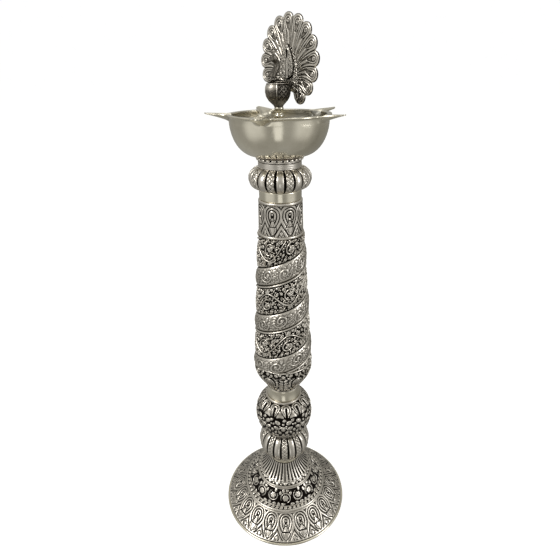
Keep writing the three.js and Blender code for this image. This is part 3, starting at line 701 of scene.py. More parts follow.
def base_skirt():
    flare = FOOT_R - RIM_WIRE_R - SKIRT_TOP_R
    rising_shell("base_skirt", lambda t: SKIRT_TOP_R + flare * (1 - t) ** SKIRT_FLARE,
                 1060, 84, skirt_feathers, shade=0.08)


def gadroons(azimuth, run, length):
    """Slanting ovals on the slope inside a plain bead."""
    period = TAU * RING_MIDDLE_R / GADROONS
    work = Chasing(azimuth / TAU * GADROONS * period, run, period, 0)
    slope_foot = length - 6.4
    work.height = np.where(run > slope_foot, -0.9, 0.3)
    work.dome(0, slope_foot + 3.2, 4.3, 2.9, 1.0, 48)
    work.height = np.where(np.abs(run - slope_foot + 0.2) < 0.5, -0.9, work.height)
    return work.height * ramp(run, 0.2, 1.2)


def outer_ring():
    low, high = span("outer_ring")
    bead = 2.6
    rim = bow(OUTER_RING_R - 0.3 - bead, low + bead - 0.1, bead, bead, -75, 120, 26)
    slope = [[OUTER_RING_R - 2 * bead + 1.6, low + 1.8 * bead], [TIER_BOTTOM_R - 0.6, high + 0.1]]
    inner = TIER_BOTTOM_R - 3
    back = [[inner, high], [inner, low], [OUTER_RING_R - 6, low]]
    turned_piece("outer_ring", np.vstack([rim, slope]), back, 1344, 40, gadroons,
                 shade=0.5, strength=2.8)


def tier_scrolls(azimuth, run, length):
    """Flower heads and leaves, deep and dark between them."""
    work = repeats(azimuth, run, TIER_FLOWER_PAIRS, TIER_MIDDLE_R, -1.5, FRONT + 0.2)
    for side in (1, -1):
        cx, cy = side * work.period / 4, (0.52 + 0.05 * side) * length
        work.rosette(cx, cy, 6.0, 6, 1.0)
        work.arc(cx, cy, 9.4, 90 * side + 20, 90 * side + 300, 2.2, 0.75)
    work.fill(2.5, length - 3, 0.6, 1)
    return edge_cord(work.height, np.minimum(run, length - run), 2, 1, 0.5, 0.2)


# Shells with deep black grounds have a lower relief, and a patina that reaches wider
DEEP_WALL = 4.0
DEEP = {"reach": 2.6, "depth": 0.7}


def floral_tier():
    slope = tapered(TIER_BOTTOM_R, TIER_TOP_R)
    rising_shell("floral_tier", lambda t: slope(t) + 2.2 * np.sin(math.pi * t),
                 1120, 66, tier_scrolls, DEEP_WALL, strength=2.4, shade=-0.2, **DEEP)


def plain_ring(name, radius, width, columns=360, ornament=None, finish="antique_silver", **look):
    """Ring with a half-round edge."""
    low, high = span(name)
    half = 0.5 * (high - low)
    depth = min(half, 0.45 * width)
    inner = radius - width
    rim = bow(radius - depth, low + half, depth, half, -88, 88, 32)
    turned_piece(name, rim, [[inner, high], [inner, low]], columns, 16, ornament, finish, **look)


def cone_flutes(azimuth, run, length):
    """Flower belt at the foot, then petals that run up into double flutes."""
    belt = 9.5
    share = cell(azimuth, FLUTES)
    work = repeats(azimuth, run, FLUTES, CONE_MIDDLE_R, -1.1)
    work.leaf(0, 0.6, 7.5, 5.5, 90, 0.8)
    work.bead(0.5 * work.period, 2.6, 1.9, 0.8)
    for side in (1, -1):
        work.dome(0.27 * side * work.period, 5.6, 2.6, 1.5, 0.7, 90 - 30 * side)
    work.bead(0.5 * work.period, 6.8, 1.3, 0.6)
    y = run - belt
    wide = 0.46 * (1 - 0.12 * ramp(y, 0, 20))
    cusp = belt - 3.4 * (1 - (2 * np.abs(share)) ** 2)
    double = 1.7 * np.abs(np.sin(TAU * share)) ** 0.8 - 0.8
    groove = -2.0 * ramp(np.abs(share), wide - 0.09, 0.5)
    slot = -1.7 * (1 - ramp(np.abs(share), 0.03, 0.1)) * ramp(y, 3, 8)
    lip = 0.9 * bar(run - cusp - 1.1, 2.6)
    field = np.where(run > cusp, np.maximum(double + groove + slot, lip), work.height)
    return field * ramp(length - run, 0.2, 3)


def fluted_cone():
    flare = CONE_BOTTOM_R - CONE_TOP_R
    rising_shell("fluted_cone", lambda t: CONE_TOP_R + flare * (1 - t) ** CONE_FLARE,
                 960, 90, cone_flutes, DEEP_WALL, strength=2.6, depth=0.7)


def ripples(azimuth, run, length):
    """Slight unevenness of a polished band."""
    return 0.04 * np.sin(5 * azimuth + 0.3 * run) + 0.03 * np.sin(13 * azimuth)


def plain_band(name, radius, waist=0.0):
    """Smooth polished band, turned in a little at its ends."""
    rising_shell(name, lambda t: radius - waist * np.sin(math.pi * t) - 0.5 * (np.abs(2 * t - 1) ** 12),
                 360, 36, ripples, finish="polished_nickel", strength=0)


# Ribbed bulbs: how much of its pitch a rib fills, and the pitch of the hatching
RIB_SHARE = 0.77
LATTICE_PITCH = 8.0


def rib_ornament(radius, first_plain):
    """Round ribs, plain and cross-hatched in turn, with flat black grooves between them."""
    def ornament(azimuth, run, length):
        share = cell(azimuth, RIBS)
        bulge = np.sin(math.pi * np.clip(run / length, 0, 1)) ** 0.7
        over = np.abs(2 * share) / RIB_SHARE
        crown = 1.5 * np.clip(1 - over ** 2.4, 0, 1) ** 0.6 - 0.9
        groove = -2.6 * ramp(over, 0.92, 1.08)
        number = np.floor((azimuth - FRONT) * RIBS / TAU + 0.5).astype(int)
        hatched = (number % 2 == 0) != first_plain
        across = share * TAU * radius / RIBS * (0.55 + 0.45 * bulge)
        knob = np.ones(np.shape(run))
        for lean in (1, -1):
            place = math.pi * (run - 0.5 * length + lean * across) / LATTICE_PITCH
            knob = np.minimum(knob, np.abs(np.sin(place)))
        lattice = 1.5 * knob ** 0.42 - 1.4
        framed = hatched & (over < 0.84) & (bulge > 0.3)
        field = bulge * (crown + groove)
        return np.where(framed, field + lattice, field)
    return ornament


def ribbed_bulb(name, radius, first_plain):
    low, high = span(name)
    half = 0.5 * (high - low)
    line = bow(BULB_NECK_R, low + half, radius - 0.6 - BULB_NECK_R, half, -90, 90, 240)
    back = [[BULB_NECK_R - 1.8, high], [BULB_NECK_R - 1.8, low]]
    columns, rows = (720, 132) if half > 20 else (760, 100)
    turned_piece(name, line, back, columns, rows, rib_ornament(radius, first_plain),
                 reach=1.9, strength=1.6, shade=0.38)


# Ball
def ball_lines():
    """Lower and upper half of the ball, from bottom to top."""
    low = span("ball_lower")[0]
    seam, high = span("ball_upper")
    half = 0.5 * (high - low)
    line = bow(BALL_MOUTH_R, low + half, BALL_R - BALL_MOUTH_R, half, -90, 90, 480)
    return line[line[:, 1] < seam - GAP], line[line[:, 1] >= seam]


def bud_field(azimuth, level):
    """Buds, ovals and leaves over a deep ground, at a level over the seam of the ball."""
    work = repeats(azimuth, level, BALL_BUDS, BALL_R, -1.8, FRONT - math.radians(2))
    work.dome(0, -1.5, 5.2, 4.2, 1.1, 90)
    work.bead(0, 9.5, 2.3, 0.9)
    work.arc(0, -6, 9.0, -10, 190, 2.0, 0.8)
    for side in (1, -1):
        work.dome(11.2 * side, 12.5, 5.6, 3.9, 1.1, 90 - 62 * side)
        work.ring(11.2 * side, 12.5, 2.2, 1.3, 1.35)
        work.dome(13.6 * side, 0.5, 5.0, 3.4, 1.0, 90 - 70 * side)
        work.bead(6.2 * side, 4.6, 1.6, 0.7)
        work.leaf(4.5 * side, -15, 11, 5.6, 90 - 32 * side, 0.9)
        work.leaf(16.5 * side, -14, 9, 5.0, 90 + 25 * side, 0.85)
        work.bead(19.2 * side, 9.0, 1.9, 0.8)
    work.leaf(0, -26, 12, 6.5, 90, 0.9)
    work.leaf(0.5 * work.period, -25, 12, 6.5, 90, 0.9)
    work.dome(0.5 * work.period, -4.5, 3.6, 2.8, 0.95, 90)
    work.fill(-40, BUD_REACH - 2, 0.7, 1)
    return work.height


def ball_leaves(azimuth, run, length):
    """Ringed leaves on dark stems over a scalloped line, and the last of the buds below it."""
    share = cell(azimuth, BALL_LEAVES, FRONT + math.radians(6))
    radius = BALL_R - 17 * ramp(run, BUD_REACH - 4, length)
    width = TAU * radius / BALL_LEAVES
    tall = length - BUD_REACH - 3.5
    field = lotus_leaves(share * width, run - BUD_REACH - 1.5, TAU * BALL_LEAVES_R / BALL_LEAVES, tall)
    scallop = BUD_REACH + 0.2 - 2.0 * np.abs(np.cos(math.pi * share)) ** 0.6
    field = np.where(run < scallop + 1.7, -1.7, field)
    field = np.where(run < scallop, bud_field(azimuth, run), field)
    return edge_cord(field, length - run, 2.6, 1.4)


def ball_buds(azimuth, run, length):
    return edge_cord(bud_field(azimuth, run - length), run, 2.4, 1.2)


def ball():
    for name, line, ornament in zip(("ball_lower", "ball_upper"), ball_lines(), (ball_buds, ball_leaves)):
        shell(name, line, 1000, 84, ornament, 5.0, reach=2.6, strength=2.6, shade=-0.3, depth=0.6)


# Leaf cup
def cup_field(azimuth, level, tall):
    """Stems with slanting leaves under a bead, in turn with ringed arches over a pair of leaves."""
    work = repeats(azimuth, level, CUP_LEAVES, CUP_MIDDLE_R, -1.5)
    period = work.period
    arch, ring_pitch = 9.5, 3.2
    drop = onion(*work.about(0.5 * period, 0.64 * tall), arch, 0.5 * tall)
    work.lay(1.9 * np.sin(math.pi * ((1 - drop) * arch / ring_pitch % 1)) ** 0.8 - 1.0, drop < 1)
    work.bead(0, 0.88 * tall, 3.1, 1.1)
    for side in (1, -1):
        for step in range(6):
            foot = (0.06 + 0.13 * step) * tall
            work.leaf(1.0 * side, foot, 13.5 - step, 4.6, 90 - 40 * side, 0.95, 0.2)
        work.leaf(0.5 * period + 1.4 * side, 0.04 * tall, 0.34 * tall, 5.2, 90 - 26 * side, 0.9)
        work.dome(0.25 * period * side, 0.92 * tall, 3.6, 2.4, 0.9, 90 - 40 * side)
        work.bead(0.26 * period * side, 0.78 * tall, 1.7, 0.7)
    work.fill(0.04 * tall, 0.97 * tall, 0.6, 2)
    return work.height


def cup_leaves(azimuth, run, length):
    return edge_cord(cup_field(azimuth, run - 2, length + CUP_REACH - 4), run, 2, 1, 0.5)


def leaf_cup():
    rising_shell("leaf_cup", lambda t: NECK_R + (CUP_TOP_R - NECK_R) * np.sin(0.5 * math.pi * t) ** 1.4,
                 900, 100, cup_leaves, DEEP_WALL, strength=2.2, **DEEP)


# Column: one raised band winds up it, with a plain edge below and a floral field between turns
COLUMN_PARTS = 3
COLUMN_WALL = 4.6
CORD_EDGE = 4.6
# height of the cup's field as a whole, and how much of it lies below the column's foot
CUP_TALL = 62.0
CUP_LEVEL = 51.6


def vine(x, y, tall):
    """Vine in S bends: a volute round a bud in every bend, sprays of leaves, and small curls between."""
    period = 84.0
    work = Chasing(x, y, period, -1.5)
    swing = 0.29 * tall
    work.wave(0.5 * tall, swing, period, 0, 2.4, 0.8)
    for side in (1, -1):
        cx, cy = side * period / 4, (0.5 - 0.12 * side) * tall
        work.curl(cx, cy, 10.8, 1.35, 90 * side, 2.4, 0.8, side)
        work.trefoil(cx, cy, 4.6, 90 * side, 0.85)
        work.spray(cx, cy + side * 0.44 * tall, 8.0, 4.6, 90 * side, 0.75, 52)
        work.leaf(cx - 13.5, cy - 2 * side, 8.5, 4.4, -128 * side, 0.75)
        work.leaf(cx + 13.5, cy - 2 * side, 8.5, 4.4, -52 * side, 0.75)
    sizes = ((4.0, 4.6), (2.7, 3.2), (1.6, 2.4))
    for kind, cx, cy, turn, hand in work.bare_spots(1.5, tall - 1.5, sizes):
        if kind == 0:
            work.curl(cx, cy, 4.3, 1.0, turn, 1.8, 0.75, hand)
            work.bead(cx, cy, 1.9, 0.85)
        elif kind == 1:
            work.arc(cx, cy, 2.5, turn, turn + 250, 1.6, 0.7)
            work.bead(cx, cy, 1.1, 0.6)
        else:
            work.dome(cx, cy, 1.7, 1.1, 0.6, turn)
    return work.height


def paisleys(x, y, tall):
    """Low, worn scrolls: curved leaves with rings inside them, between feathered strokes."""
    period = 66.0
    work = Chasing(x, y, period, -0.35)
    for side in (1, -1):
        cx = side * period / 4
        cy = (0.5 + 0.06 * side) * tall
        work.curl(cx, cy, 0.4 * tall, 1.5, 90 + 90 * side, 2.6, 0.5, side)
        work.bead(cx + 1.5 * side, cy, 2.6, 0.55)
        for step in range(4):
            turn = 118 + 22 * step if side > 0 else -62 - 22 * step
            a = math.radians(turn)
            work.leaf(cx + 0.3 * tall * math.cos(a), cy + 0.3 * tall * math.sin(a), 8.0, 3.6, turn + 20, 0.45)
    work.fill(1, tall - 1, 0.3)
    return work.height


def band_wear(azimuth, run):
    """The raised band is rubbed brighter than the field between its turns, its cord brightest."""
    band, field, cord, leaves = 0.36, 0.16, 0.8, -0.05
    climb = (run - SPIRAL_START - SPIRAL_LEAD * azimuth / TAU) % SPIRAL_LEAD
    wear_and_shade = np.where(climb < SPIRAL_BAND, band, field)
    wear_and_shade = np.where((climb > 0.6) & (climb < 3.8), cord, wear_and_shade)
    return np.where(run > CUP_REACH, wear_and_shade, leaves)


def column_ornament(azimuth, run, length):
    climb = run - SPIRAL_START - SPIRAL_LEAD * azimuth / TAU
    lap = np.floor(climb / SPIRAL_LEAD)
    y = climb - SPIRAL_LEAD * lap
    x = (azimuth + TAU * lap) * COLUMN_MIDDLE_R
    band, gap = SPIRAL_BAND - CORD_EDGE, SPIRAL_LEAD - SPIRAL_BAND
    swell = np.sin(math.pi * np.clip((y - CORD_EDGE) / band, 0, 1))
    light = 3.6 * swell ** 0.5 - 1.3 + paisleys(x, y - CORD_EDGE, band) * ramp(swell, 0.1, 0.4)
    cord = 2.6 * bar(y - 2.1, 4.2) - 1.1
    raised = np.where(y < CORD_EDGE - 0.3, cord, light)
    swell = np.sin(math.pi * np.clip((y - SPIRAL_BAND) / gap, 0, 1))
    sunk = 3.6 * swell ** 0.42 - 2.6 + vine(x, y - SPIRAL_BAND, gap) * ramp(swell, 0.02, 0.16)
    field = np.where(y < SPIRAL_BAND, raised, sunk)
    # the leaves of the cup reach over the column's foot, up to a bright ring
    foot = np.zeros(run.shape)
    near = run[:, 0] < CUP_REACH
    foot[near] = cup_field(azimuth[near], run[near] + CUP_LEVEL, CUP_TALL)
    ring = 2.6 * bar(run - CUP_REACH, 3.6) - 0.9
    field = np.where(run < CUP_REACH - 1.7, foot, field)
    field = np.where(np.abs(run - CUP_REACH) < 1.7, np.maximum(field, ring), field)
    return np.where(np.abs(run - CUP_REACH - 2.2) < 0.5, np.minimum(field, -1.2), field)


def column():
    """Shell of the column, whose relief is made in one go and cut level into parts."""
    line = rising(*span("column_shell"), tapered(COLUMN_BOTTOM_R, COLUMN_TOP_R))
    rows = 190
    points, patina = turned_grid(line, 510, rows * COLUMN_PARTS, column_ornament, band_wear,
                                 reach=1.9, strength=2.0)
    inside, _ = resampled(line - [COLUMN_WALL, 0], COLUMN_PARTS)
    for part in range(COLUMN_PARTS):
        cut = slice(part * rows, (part + 1) * rows + 1)
        mesh = closed_mesh("column_shell_" + str(part + 1), points[cut], patina[cut],
                           inside[[part + 1, part]])
        piece(mesh, "antique_silver", "stand", "column_shell")


# Sleeve over the column, collar and beads under the bowl
def sleeve_arches(azimuth, run, length):
    width = TAU * 0.5 * (SLEEVE_BOTTOM_R + SLEEVE_TOP_R) / SLEEVE_ARCHES
    x = cell(azimuth, SLEEVE_ARCHES, FRONT + math.radians(23.5)) * width
    return feather_arch(x, run, width, length)


def feather_sleeve():
    rising_shell("feather_sleeve", tapered(SLEEVE_BOTTOM_R, SLEEVE_TOP_R), 640, 140, sleeve_arches,
                 reach=3.0, strength=2.8, shade=0.25, depth=0.7)


def collar_marks(azimuth, run, length):
    """Faint hammer marks under a turned groove."""
    marks = 0.07 * np.sin(11 * azimuth + 0.9 * run) * np.sin(1.3 * run + 3 * azimuth)
    return marks - 0.9 * bar(length - run - 1.9, 1.2)


def top_collar():
    radius = TOP_COLLAR_R - 0.2
    rising_shell("top_collar", tapered(radius, radius), 480, 40, collar_marks, shade=1.0)


def bead_row(azimuth, run, length):
    share = cell(azimuth, BEADS)
    x = share * TAU * BEAD_RING_R / BEADS
    y = run - 0.5 * length
    body = 1 - (x / 3.5) ** 2 - (y / 2.9) ** 2
    return np.where(body > 0, 1.2 * np.clip(body, 0, 1) ** 0.5 - 0.4, -1.9) * ends(run, length, 0.8)


# Bowl: smooth wall, narrow flat rim and five folded spouts
BOSS_R = 13.0


def bowl_section():
    """Outline of the bowl as rows of r, z on the plain rim and r, z on the keel of a spout, from
    the hole in its foot up the outside, over the rim and down the inside; and the row from which
    it is the inside."""
    low, tip_top = span("bowl")
    rim_top = tip_top - SPOUT_RISE
    keel_wall = rim_top - SPOUT_DEPTH
    reach = SPOUT_TIP_R - BOWL_BODY_R
    lean = np.radians(np.linspace(0, 90, 44))
    wall_r = BOWL_FOOT_R + (BOWL_BODY_R - BOWL_FOOT_R) * np.sin(lean) ** 0.86
    wall_z = low + (keel_wall - low) * (1 - np.cos(lean) ** 1.08)
    outer = np.column_stack([wall_r, wall_z])
    inner = (outer + BOWL_WALL * np.column_stack([-np.sin(lean), np.cos(lean)]))[::-1]

    def keel(share, top):
        rise = keel_wall + (tip_top - 1.2 - keel_wall) * share ** 0.9
        return [BOWL_BODY_R + reach * share, rise + (1.2 + 0.8 * (1 - share) if top else 0)]

    under = rim_top - BOWL_LIP
    inner_edge = BOWL_RIM_R - RIM_WIDTH
    lip = 0.7
    folded = [
        ([BOWL_BODY_R + 0.2, under - 2.6], keel(0.18, False)),
        ([BOWL_BODY_R + 0.7, under - 1.2], keel(0.42, False)),
        ([BOWL_BODY_R + 1.6, under - 0.3], keel(0.68, False)),
        ([BOWL_RIM_R - lip, under], keel(0.985, False)),
        ([BOWL_RIM_R, under + lip], keel(1.0, False)),
        ([BOWL_RIM_R, rim_top - lip], keel(1.0, True)),
        ([BOWL_RIM_R - lip, rim_top], keel(0.985, True)),
        ([BOWL_RIM_R - 0.5 * RIM_WIDTH, rim_top - 0.1], keel(0.8, True)),
        ([inner_edge + 0.8, rim_top - 0.2], keel(0.56, True)),
        ([inner_edge, rim_top - 0.9], keel(0.4, True)),
        ([inner_edge + 0.2, rim_top - 3.2], keel(0.24, True)),
        ([BOWL_BODY_R - BOWL_WALL - 0.2, rim_top - 5.6], keel(0.1, True)),
    ]
    pairs = np.array([[*a, *b] for a, b in folded])
    steps = np.arange(len(pairs))
    fine = np.linspace(0, steps[-1], 5 * steps[-1] + 1)
    pairs = np.column_stack([np.interp(fine, steps, pairs[:, k]) for k in range(4)])
    foot_hole = BOSS_R + GAP
    foot = [[foot_hole, low + 0.4], [BOWL_FOOT_R - 4, low + 0.4], [BOWL_FOOT_R - 1, low]]
    floor = [[foot_hole, low + BOWL_WALL + 0.4]]
    plain = [np.tile(rows, 2) for rows in (foot, outer, inner, floor)]
    return np.vstack([*plain[:2], pairs, *plain[2:]]), len(foot) + len(outer) + 38


def bowl():
    section, inside_from = bowl_section()
    turn = 360 / SPOUTS
    near = SPOUT_HALF_ANGLE * np.linspace(0, 1, 37)
    flank = np.linspace(SPOUT_HALF_ANGLE, 0.5 * turn, 26)[1:]
    half = np.concatenate([near, flank])
    offsets = np.concatenate([-half[:0:-1], half[:-1]])
    degrees = (FIRST_SPOUT + turn * np.arange(SPOUTS)[:, None] + offsets).ravel()
    offset = np.abs(np.tile(offsets, SPOUTS))
    # a spout's fold deepens evenly to its middle, and its reach stays broad about it
    fold = np.clip(1 - offset / SPOUT_HALF_ANGLE, 0, 1) ** 1.05
    spread = np.exp(-(offset / (0.72 * SPOUT_HALF_ANGLE)) ** 2.4)
    r = section[:, :1] + (section[:, 2:3] - section[:, :1]) * spread
    z = section[:, 1:2] + (section[:, 3:4] - section[:, 1:2]) * fold
    angle = np.radians(degrees)
    r = r + 0.25 * np.sin(3 * angle + 0.6) * ramp(section[:, :1], 60, 75)
    points = np.dstack([r * np.cos(angle), r * np.sin(angle), z])
    mesh = grid_mesh("bowl", points, True)
    # the inside is darker and duller, from the inner edge of the rim on
    inside_dulling = 0.42 * ramp(np.arange(len(points)), inside_from, inside_from + 12)
    layer = mesh.attributes.new("inside_dulling", "FLOAT", "POINT")
    layer.data.foreach_set("value", np.repeat(inside_dulling, points.shape[1]).astype(np.float32))
    piece(mesh, "polished_nickel", "bowl_body", "bowl")


# Least radius of a turned outline, so that its ends on the axis stay proper discs
AXIS_R = 0.02


def lathe(name, section, body, columns):
    """Polished solid of revolution from its outline, which starts and ends on the axis."""
    points = revolved(np.maximum(section[:, :1], AXIS_R), section[:, 1:], columns)
    piece(grid_mesh(name, points, False), "polished_nickel", body, name)


def rounded(points, bevel=0.4, steps=4):
    """Outline with its inner corners rounded off by short curves."""
    points = [np.array(p, float) for p in points]
    out = [points[0]]
    for before, corner, after in zip(points, points[1:], points[2:]):
        a, b = before - corner, after - corner
        la, lb = np.hypot(*a), np.hypot(*b)
        cut = min(bevel, 0.45 * la, 0.45 * lb)
        start, end = corner + a / la * cut, corner + b / lb * cut
        for t in np.linspace(0, 1, steps + 1):
            out.append((1 - t) ** 2 * start + 2 * t * (1 - t) * corner + t ** 2 * end)
    return np.array(out + [points[-1]])


def bowl_boss():
    low, high = span("bowl_boss")
    head, rod_hole, stud_hole = 10, 5.4, 4.4
    outline = [
        [0, high - 10.5], [stud_hole, high - 10.5], [stud_hole, high], [head, high],
        [head, low + 12.0], [BOSS_R, low + 8.0], [BOSS_R, low], [head, low], [head, low + 4.0],
        [rod_hole, low + 4.0], [rod_hole, low + 16.0], [0, low + 16.0],
    ]
    lathe("bowl_boss", rounded(outline)[::-1], "bowl_body", 72)


def washer(name, outer, inner, body):
    low, high = span(name)
    half = 0.5 * (high - low)
    rim = bow(outer - 0.5 * half, low + half, 0.5 * half, half, -80, 80, 12)
    turned_piece(name, rim, [[inner, high], [inner, low]], 160, 10, None, "leather_washer", body)


# Finial
STEM_LOW = span("finial_washer")[1] + GAP
STEM_HIGH = span("finial_stem")[1]
BIRD_FOOT = span("bird_body")[0]
BODY_TOP = span("bird_body")[1] - BIRD_FOOT
TAIL_FRONT = -TAIL_BACK + 0.5 * TAIL_THICKNESS


def finial_stem():
    stud_low = span("finial_stem")[0]
    tall = STEM_HIGH - STEM_LOW
    r = 7.0
    stud = 4
    # radius and share of the height, up the stem's mouldings
    mouldings = [
        (r + 1, 0.07), (r - 0.6, 0.1), (0.74 * r, 0.16), (0.66 * r, 0.3), (0.66 * r, 0.46),
        (0.76 * r, 0.52), (0.98 * r, 0.56), (r, 0.64), (0.98 * r, 0.71), (0.72 * r, 0.75),
        (0.7 * r, 0.8), (0.86 * r, 0.84), (0.95 * r, 0.92),
    ]
    outline = [
        [0, stud_low], [3.4, stud_low], [stud, stud_low + 0.8], [stud, STEM_LOW], [r + 1, STEM_LOW],
        *([radius, STEM_LOW + tall * share] for radius, share in mouldings),
        [0.95 * r, STEM_HIGH], [0, STEM_HIGH],
    ]
    lathe("finial_stem", rounded(outline, 0.8), "finial", 56)


BIRD_PLACE = Matrix.Translation((0, 0, BIRD_FOOT * MM)) @ Matrix.Rotation(HEADING, 4, "Z")


def bird_piece(mesh, node, finish="antique_silver"):
    """Piece made looking along +X over the stem, turned to the bird's heading."""
    mesh.transform(BIRD_PLACE)
    piece(mesh, finish, "finial", node)


def scales(x, y, pitch, period):
    """Overlapping round scales that hang down, repeated along x with a period."""
    columns = max(1, round(period / pitch))
    wide = period / columns
    field = np.zeros(np.shape(x))
    for shift in (0, 1):
        row = np.floor(y / pitch - 0.5 * shift)
        cy = (row + 0.5 * shift + 1) * pitch
        cx = (x / wide + 0.5 * shift) % 1 - 0.5
        out = np.hypot(cx * wide / (0.56 * wide), (y - cy) / (0.95 * pitch))
        below = (out < 1) & (y < cy)
        rise = 0.35 + 0.65 * out ** 3 + 0.5 * bar(cx * wide, 0.8) * (out < 0.7)
        field = np.where(below, np.maximum(field, rise), field)
    return field


def bird_body():
    rows, columns = 110, 180
    t = np.linspace(0, 1, rows)
    knots = [0, 0.05, 0.12, 0.24, 0.4, 0.58, 0.76, 0.88, 0.95, 1]
    sizes = [0.34, 0.38, 0.52, 0.76, 0.93, 1.0, 0.98, 0.88, 0.74, 0.5]
    size = np.interp(t, knots, sizes)
    soft = np.hanning(11)
    padded = np.concatenate([np.full(5, size[0]), size, np.full(5, size[-1])])
    size = np.convolve(padded, soft / soft.sum(), "valid")
    angle, level = np.meshgrid(circle(columns), t)
    side = np.degrees(np.abs((angle + math.pi) % TAU - math.pi))
    # the chest is smooth, and scales cover the sides and the back behind a raised line
    seam_at, mm_a_degree = 46, 0.28
    over_foot = ramp(level, 0.26, 0.36)
    coat = ramp(side, seam_at + 1, seam_at + 5) * over_foot
    scaly = scales(angle * BODY_HALF_WIDTH, level * BODY_TOP, 6.4, TAU * BODY_HALF_WIDTH)
    seam = 0.5 * bar((side - seam_at) * mm_a_degree, 1.0) * over_foot
    rings = bar(level - 0.885, 0.045) + bar(level - 0.955, 0.04)
    height = 1.1 * (scaly - 0.7) * coat * (level < 0.85) + seam + 0.5 * rings
    middle = BODY_HALF_LENGTH + TAIL_FRONT + GAP
    r = size[:, None] + height / BODY_HALF_LENGTH
    x = middle * size[:, None] + BODY_HALF_LENGTH * np.minimum(r, 1.04) * np.cos(angle)
    x = np.maximum(x, TAIL_FRONT + GAP)
    y = BODY_HALF_WIDTH * r * np.sin(angle)
    points = np.dstack([x, y, level * BODY_TOP])
    # painted highlight: the upper part of the smooth chest is lightened; below it the chest is a little
    # darker, the raised rings are worn bright, and the top from level 0.85 up and the scaled coat are darker
    chest_highlight_and_tone = 0.6 * (1 - coat) * ramp(level, 0.62, 0.74) - 0.1 * (1 - coat) + 1.2 * rings
    chest_highlight_and_tone = chest_highlight_and_tone - 0.9 * ramp(level, 0.84, 0.86)
    patina = patina_of(height, 0.6, 0.31, 1.6, 1.7, chest_highlight_and_tone - 0.02 - 0.3 * coat)
    bird_piece(grid_mesh("bird_body", points, False, patina), "bird_body")


def spline(points, count):
    """Smooth line through the given rows of numbers."""
    points = np.array(points, float)
    ghost = np.vstack([2 * points[0] - points[1], points, 2 * points[-1] - points[-2]])
    out = []
    for s in np.linspace(0, len(points) - 1, count):
        i = min(int(s), len(points) - 2)
        f = s - i
        a, b, c, d = ghost[i:i + 4]
        out.append(0.5 * (2 * b + (c - a) * f + (2 * a - 5 * b + 4 * c - d) * f ** 2
                          + (3 * b - a - 3 * c + d) * f ** 3))
    return np.array(out)


def tube_points(path, columns):
    """Rows of points round a path of [x, z, radius] in the bird's middle plane."""
    slope = np.gradient(path[:, :2], axis=0)
    slope /= np.hypot(slope[:, 0], slope[:, 1])[:, None]
    turn = circle(columns)
    across = path[:, 2:3] * np.cos(turn)
    x = path[:, :1] + across * slope[:, 1:2]
    z = path[:, 1:2] - across * slope[:, :1]
    return np.dstack([x, path[:, 2:3] * np.sin(turn), z])


def bird_neck():
    foot = BODY_TOP + GAP
    path = spline([
        [11.5, foot, 6.2], [11.4, foot + 1.4, 6.1], [11.0, foot + 3.2, 5.3], [9.6, foot + 6.4, 4.6],
        [6.2, foot + 11.2, 4.1], [3.3, foot + 16, 3.9], [3.0, foot + 20.4, 3.9],
        [5.0, foot + 24.4, 4.5], [8.0, foot + 26.2, 4.9], [10.6, foot + 25.9, 4.2],
        [12.6, foot + 25.0, 2.9], [15.2, foot + 24.0, 1.9], [18.4, foot + 22.9, 1.1],
        [21.2, foot + 21.6, 0.25],
    ], 190)
    rows = np.arange(len(path)) / (len(path) - 1)
    rings = np.maximum(bar(rows - 0.035, 0.042), bar(rows - 0.095, 0.042))
    path[:, 2] += 0.9 * rings
    columns = 72
    points = tube_points(path, columns)
    neck_r, neck_length = 4, 62
    around, along = np.meshgrid(circle(columns) * neck_r, rows * neck_length)
    coat = ramp(along, 8, 11) * (1 - ramp(along, 34, 37))
    height = 0.38 * (scales(around, -along, 2.6, TAU * neck_r) - 0.5) * coat
    # eyes on both sides of the head, and the line of the beak
    middle = np.repeat(path[:, None, :2], columns, 1)
    eye_x, eye_z = 9.0, foot + 27.0
    beak_from = 49
    for hand in (1, -1):
        far_side = 9 * (hand * points[:, :, 1] < 0)
        out = np.hypot(points[:, :, 0] - eye_x, points[:, :, 2] - eye_z) + far_side
        height += 0.5 * bar(out, 2.6) + 0.3 * bar(out - 1.9, 1.2)
    beak = (along > beak_from) & (np.abs(points[:, :, 2] - middle[:, :, 1]) < 0.25)
    height = np.where(beak, height - 0.25, height)
    centre = np.dstack([middle[:, :, 0], np.zeros_like(middle[:, :, 0]), middle[:, :, 1]])
    outward = points - centre
    outward /= np.maximum(np.linalg.norm(outward, axis=2, keepdims=True), 1e-6)
    points = points + outward * height[:, :, None]
    # bright worn rings, with painted shade in the creases between and above them; painted shade also darkens
    # the whole neck by 0.22
    wear_and_shade = 0.75 * rings - 0.9 * bar(rows - 0.065, 0.024) - 0.9 * bar(rows - 0.128, 0.024)
    patina = patina_of(height, 0.36, 0.33, 0.8, 2.2) + wear_and_shade[:, None] - 0.22
    bird_piece(grid_mesh("bird_neck", points, False, np.clip(patina, -1, 1)), "bird_neck")


def join_grids(name, grids):
    """One mesh from several closed bodies that don't touch."""
    made = [grid_mesh(name + "_" + str(i), points, False) for i, points in enumerate(grids)]
    things = [bpy.data.objects.new(mesh.name, mesh) for mesh in made]
    for thing in things:
        bpy.context.scene.collection.objects.link(thing)
    for i, mesh in enumerate(made):
        data = np.zeros(2 * len(mesh.loops), np.float32)
        mesh.uv_layers[0].data.foreach_get("uv", data)
        data[0::2] = (data[0::2] + i) / len(made)
        mesh.uv_layers[0].data.foreach_set("uv", data)
    with bpy.context.temp_override(active_object=things[0], selected_editable_objects=things):
        bpy.ops.object.join()
    mesh = things[0].data.copy()
    bpy.data.objects.remove(things[0])
    mesh.name = name + "_detail"
    return mesh


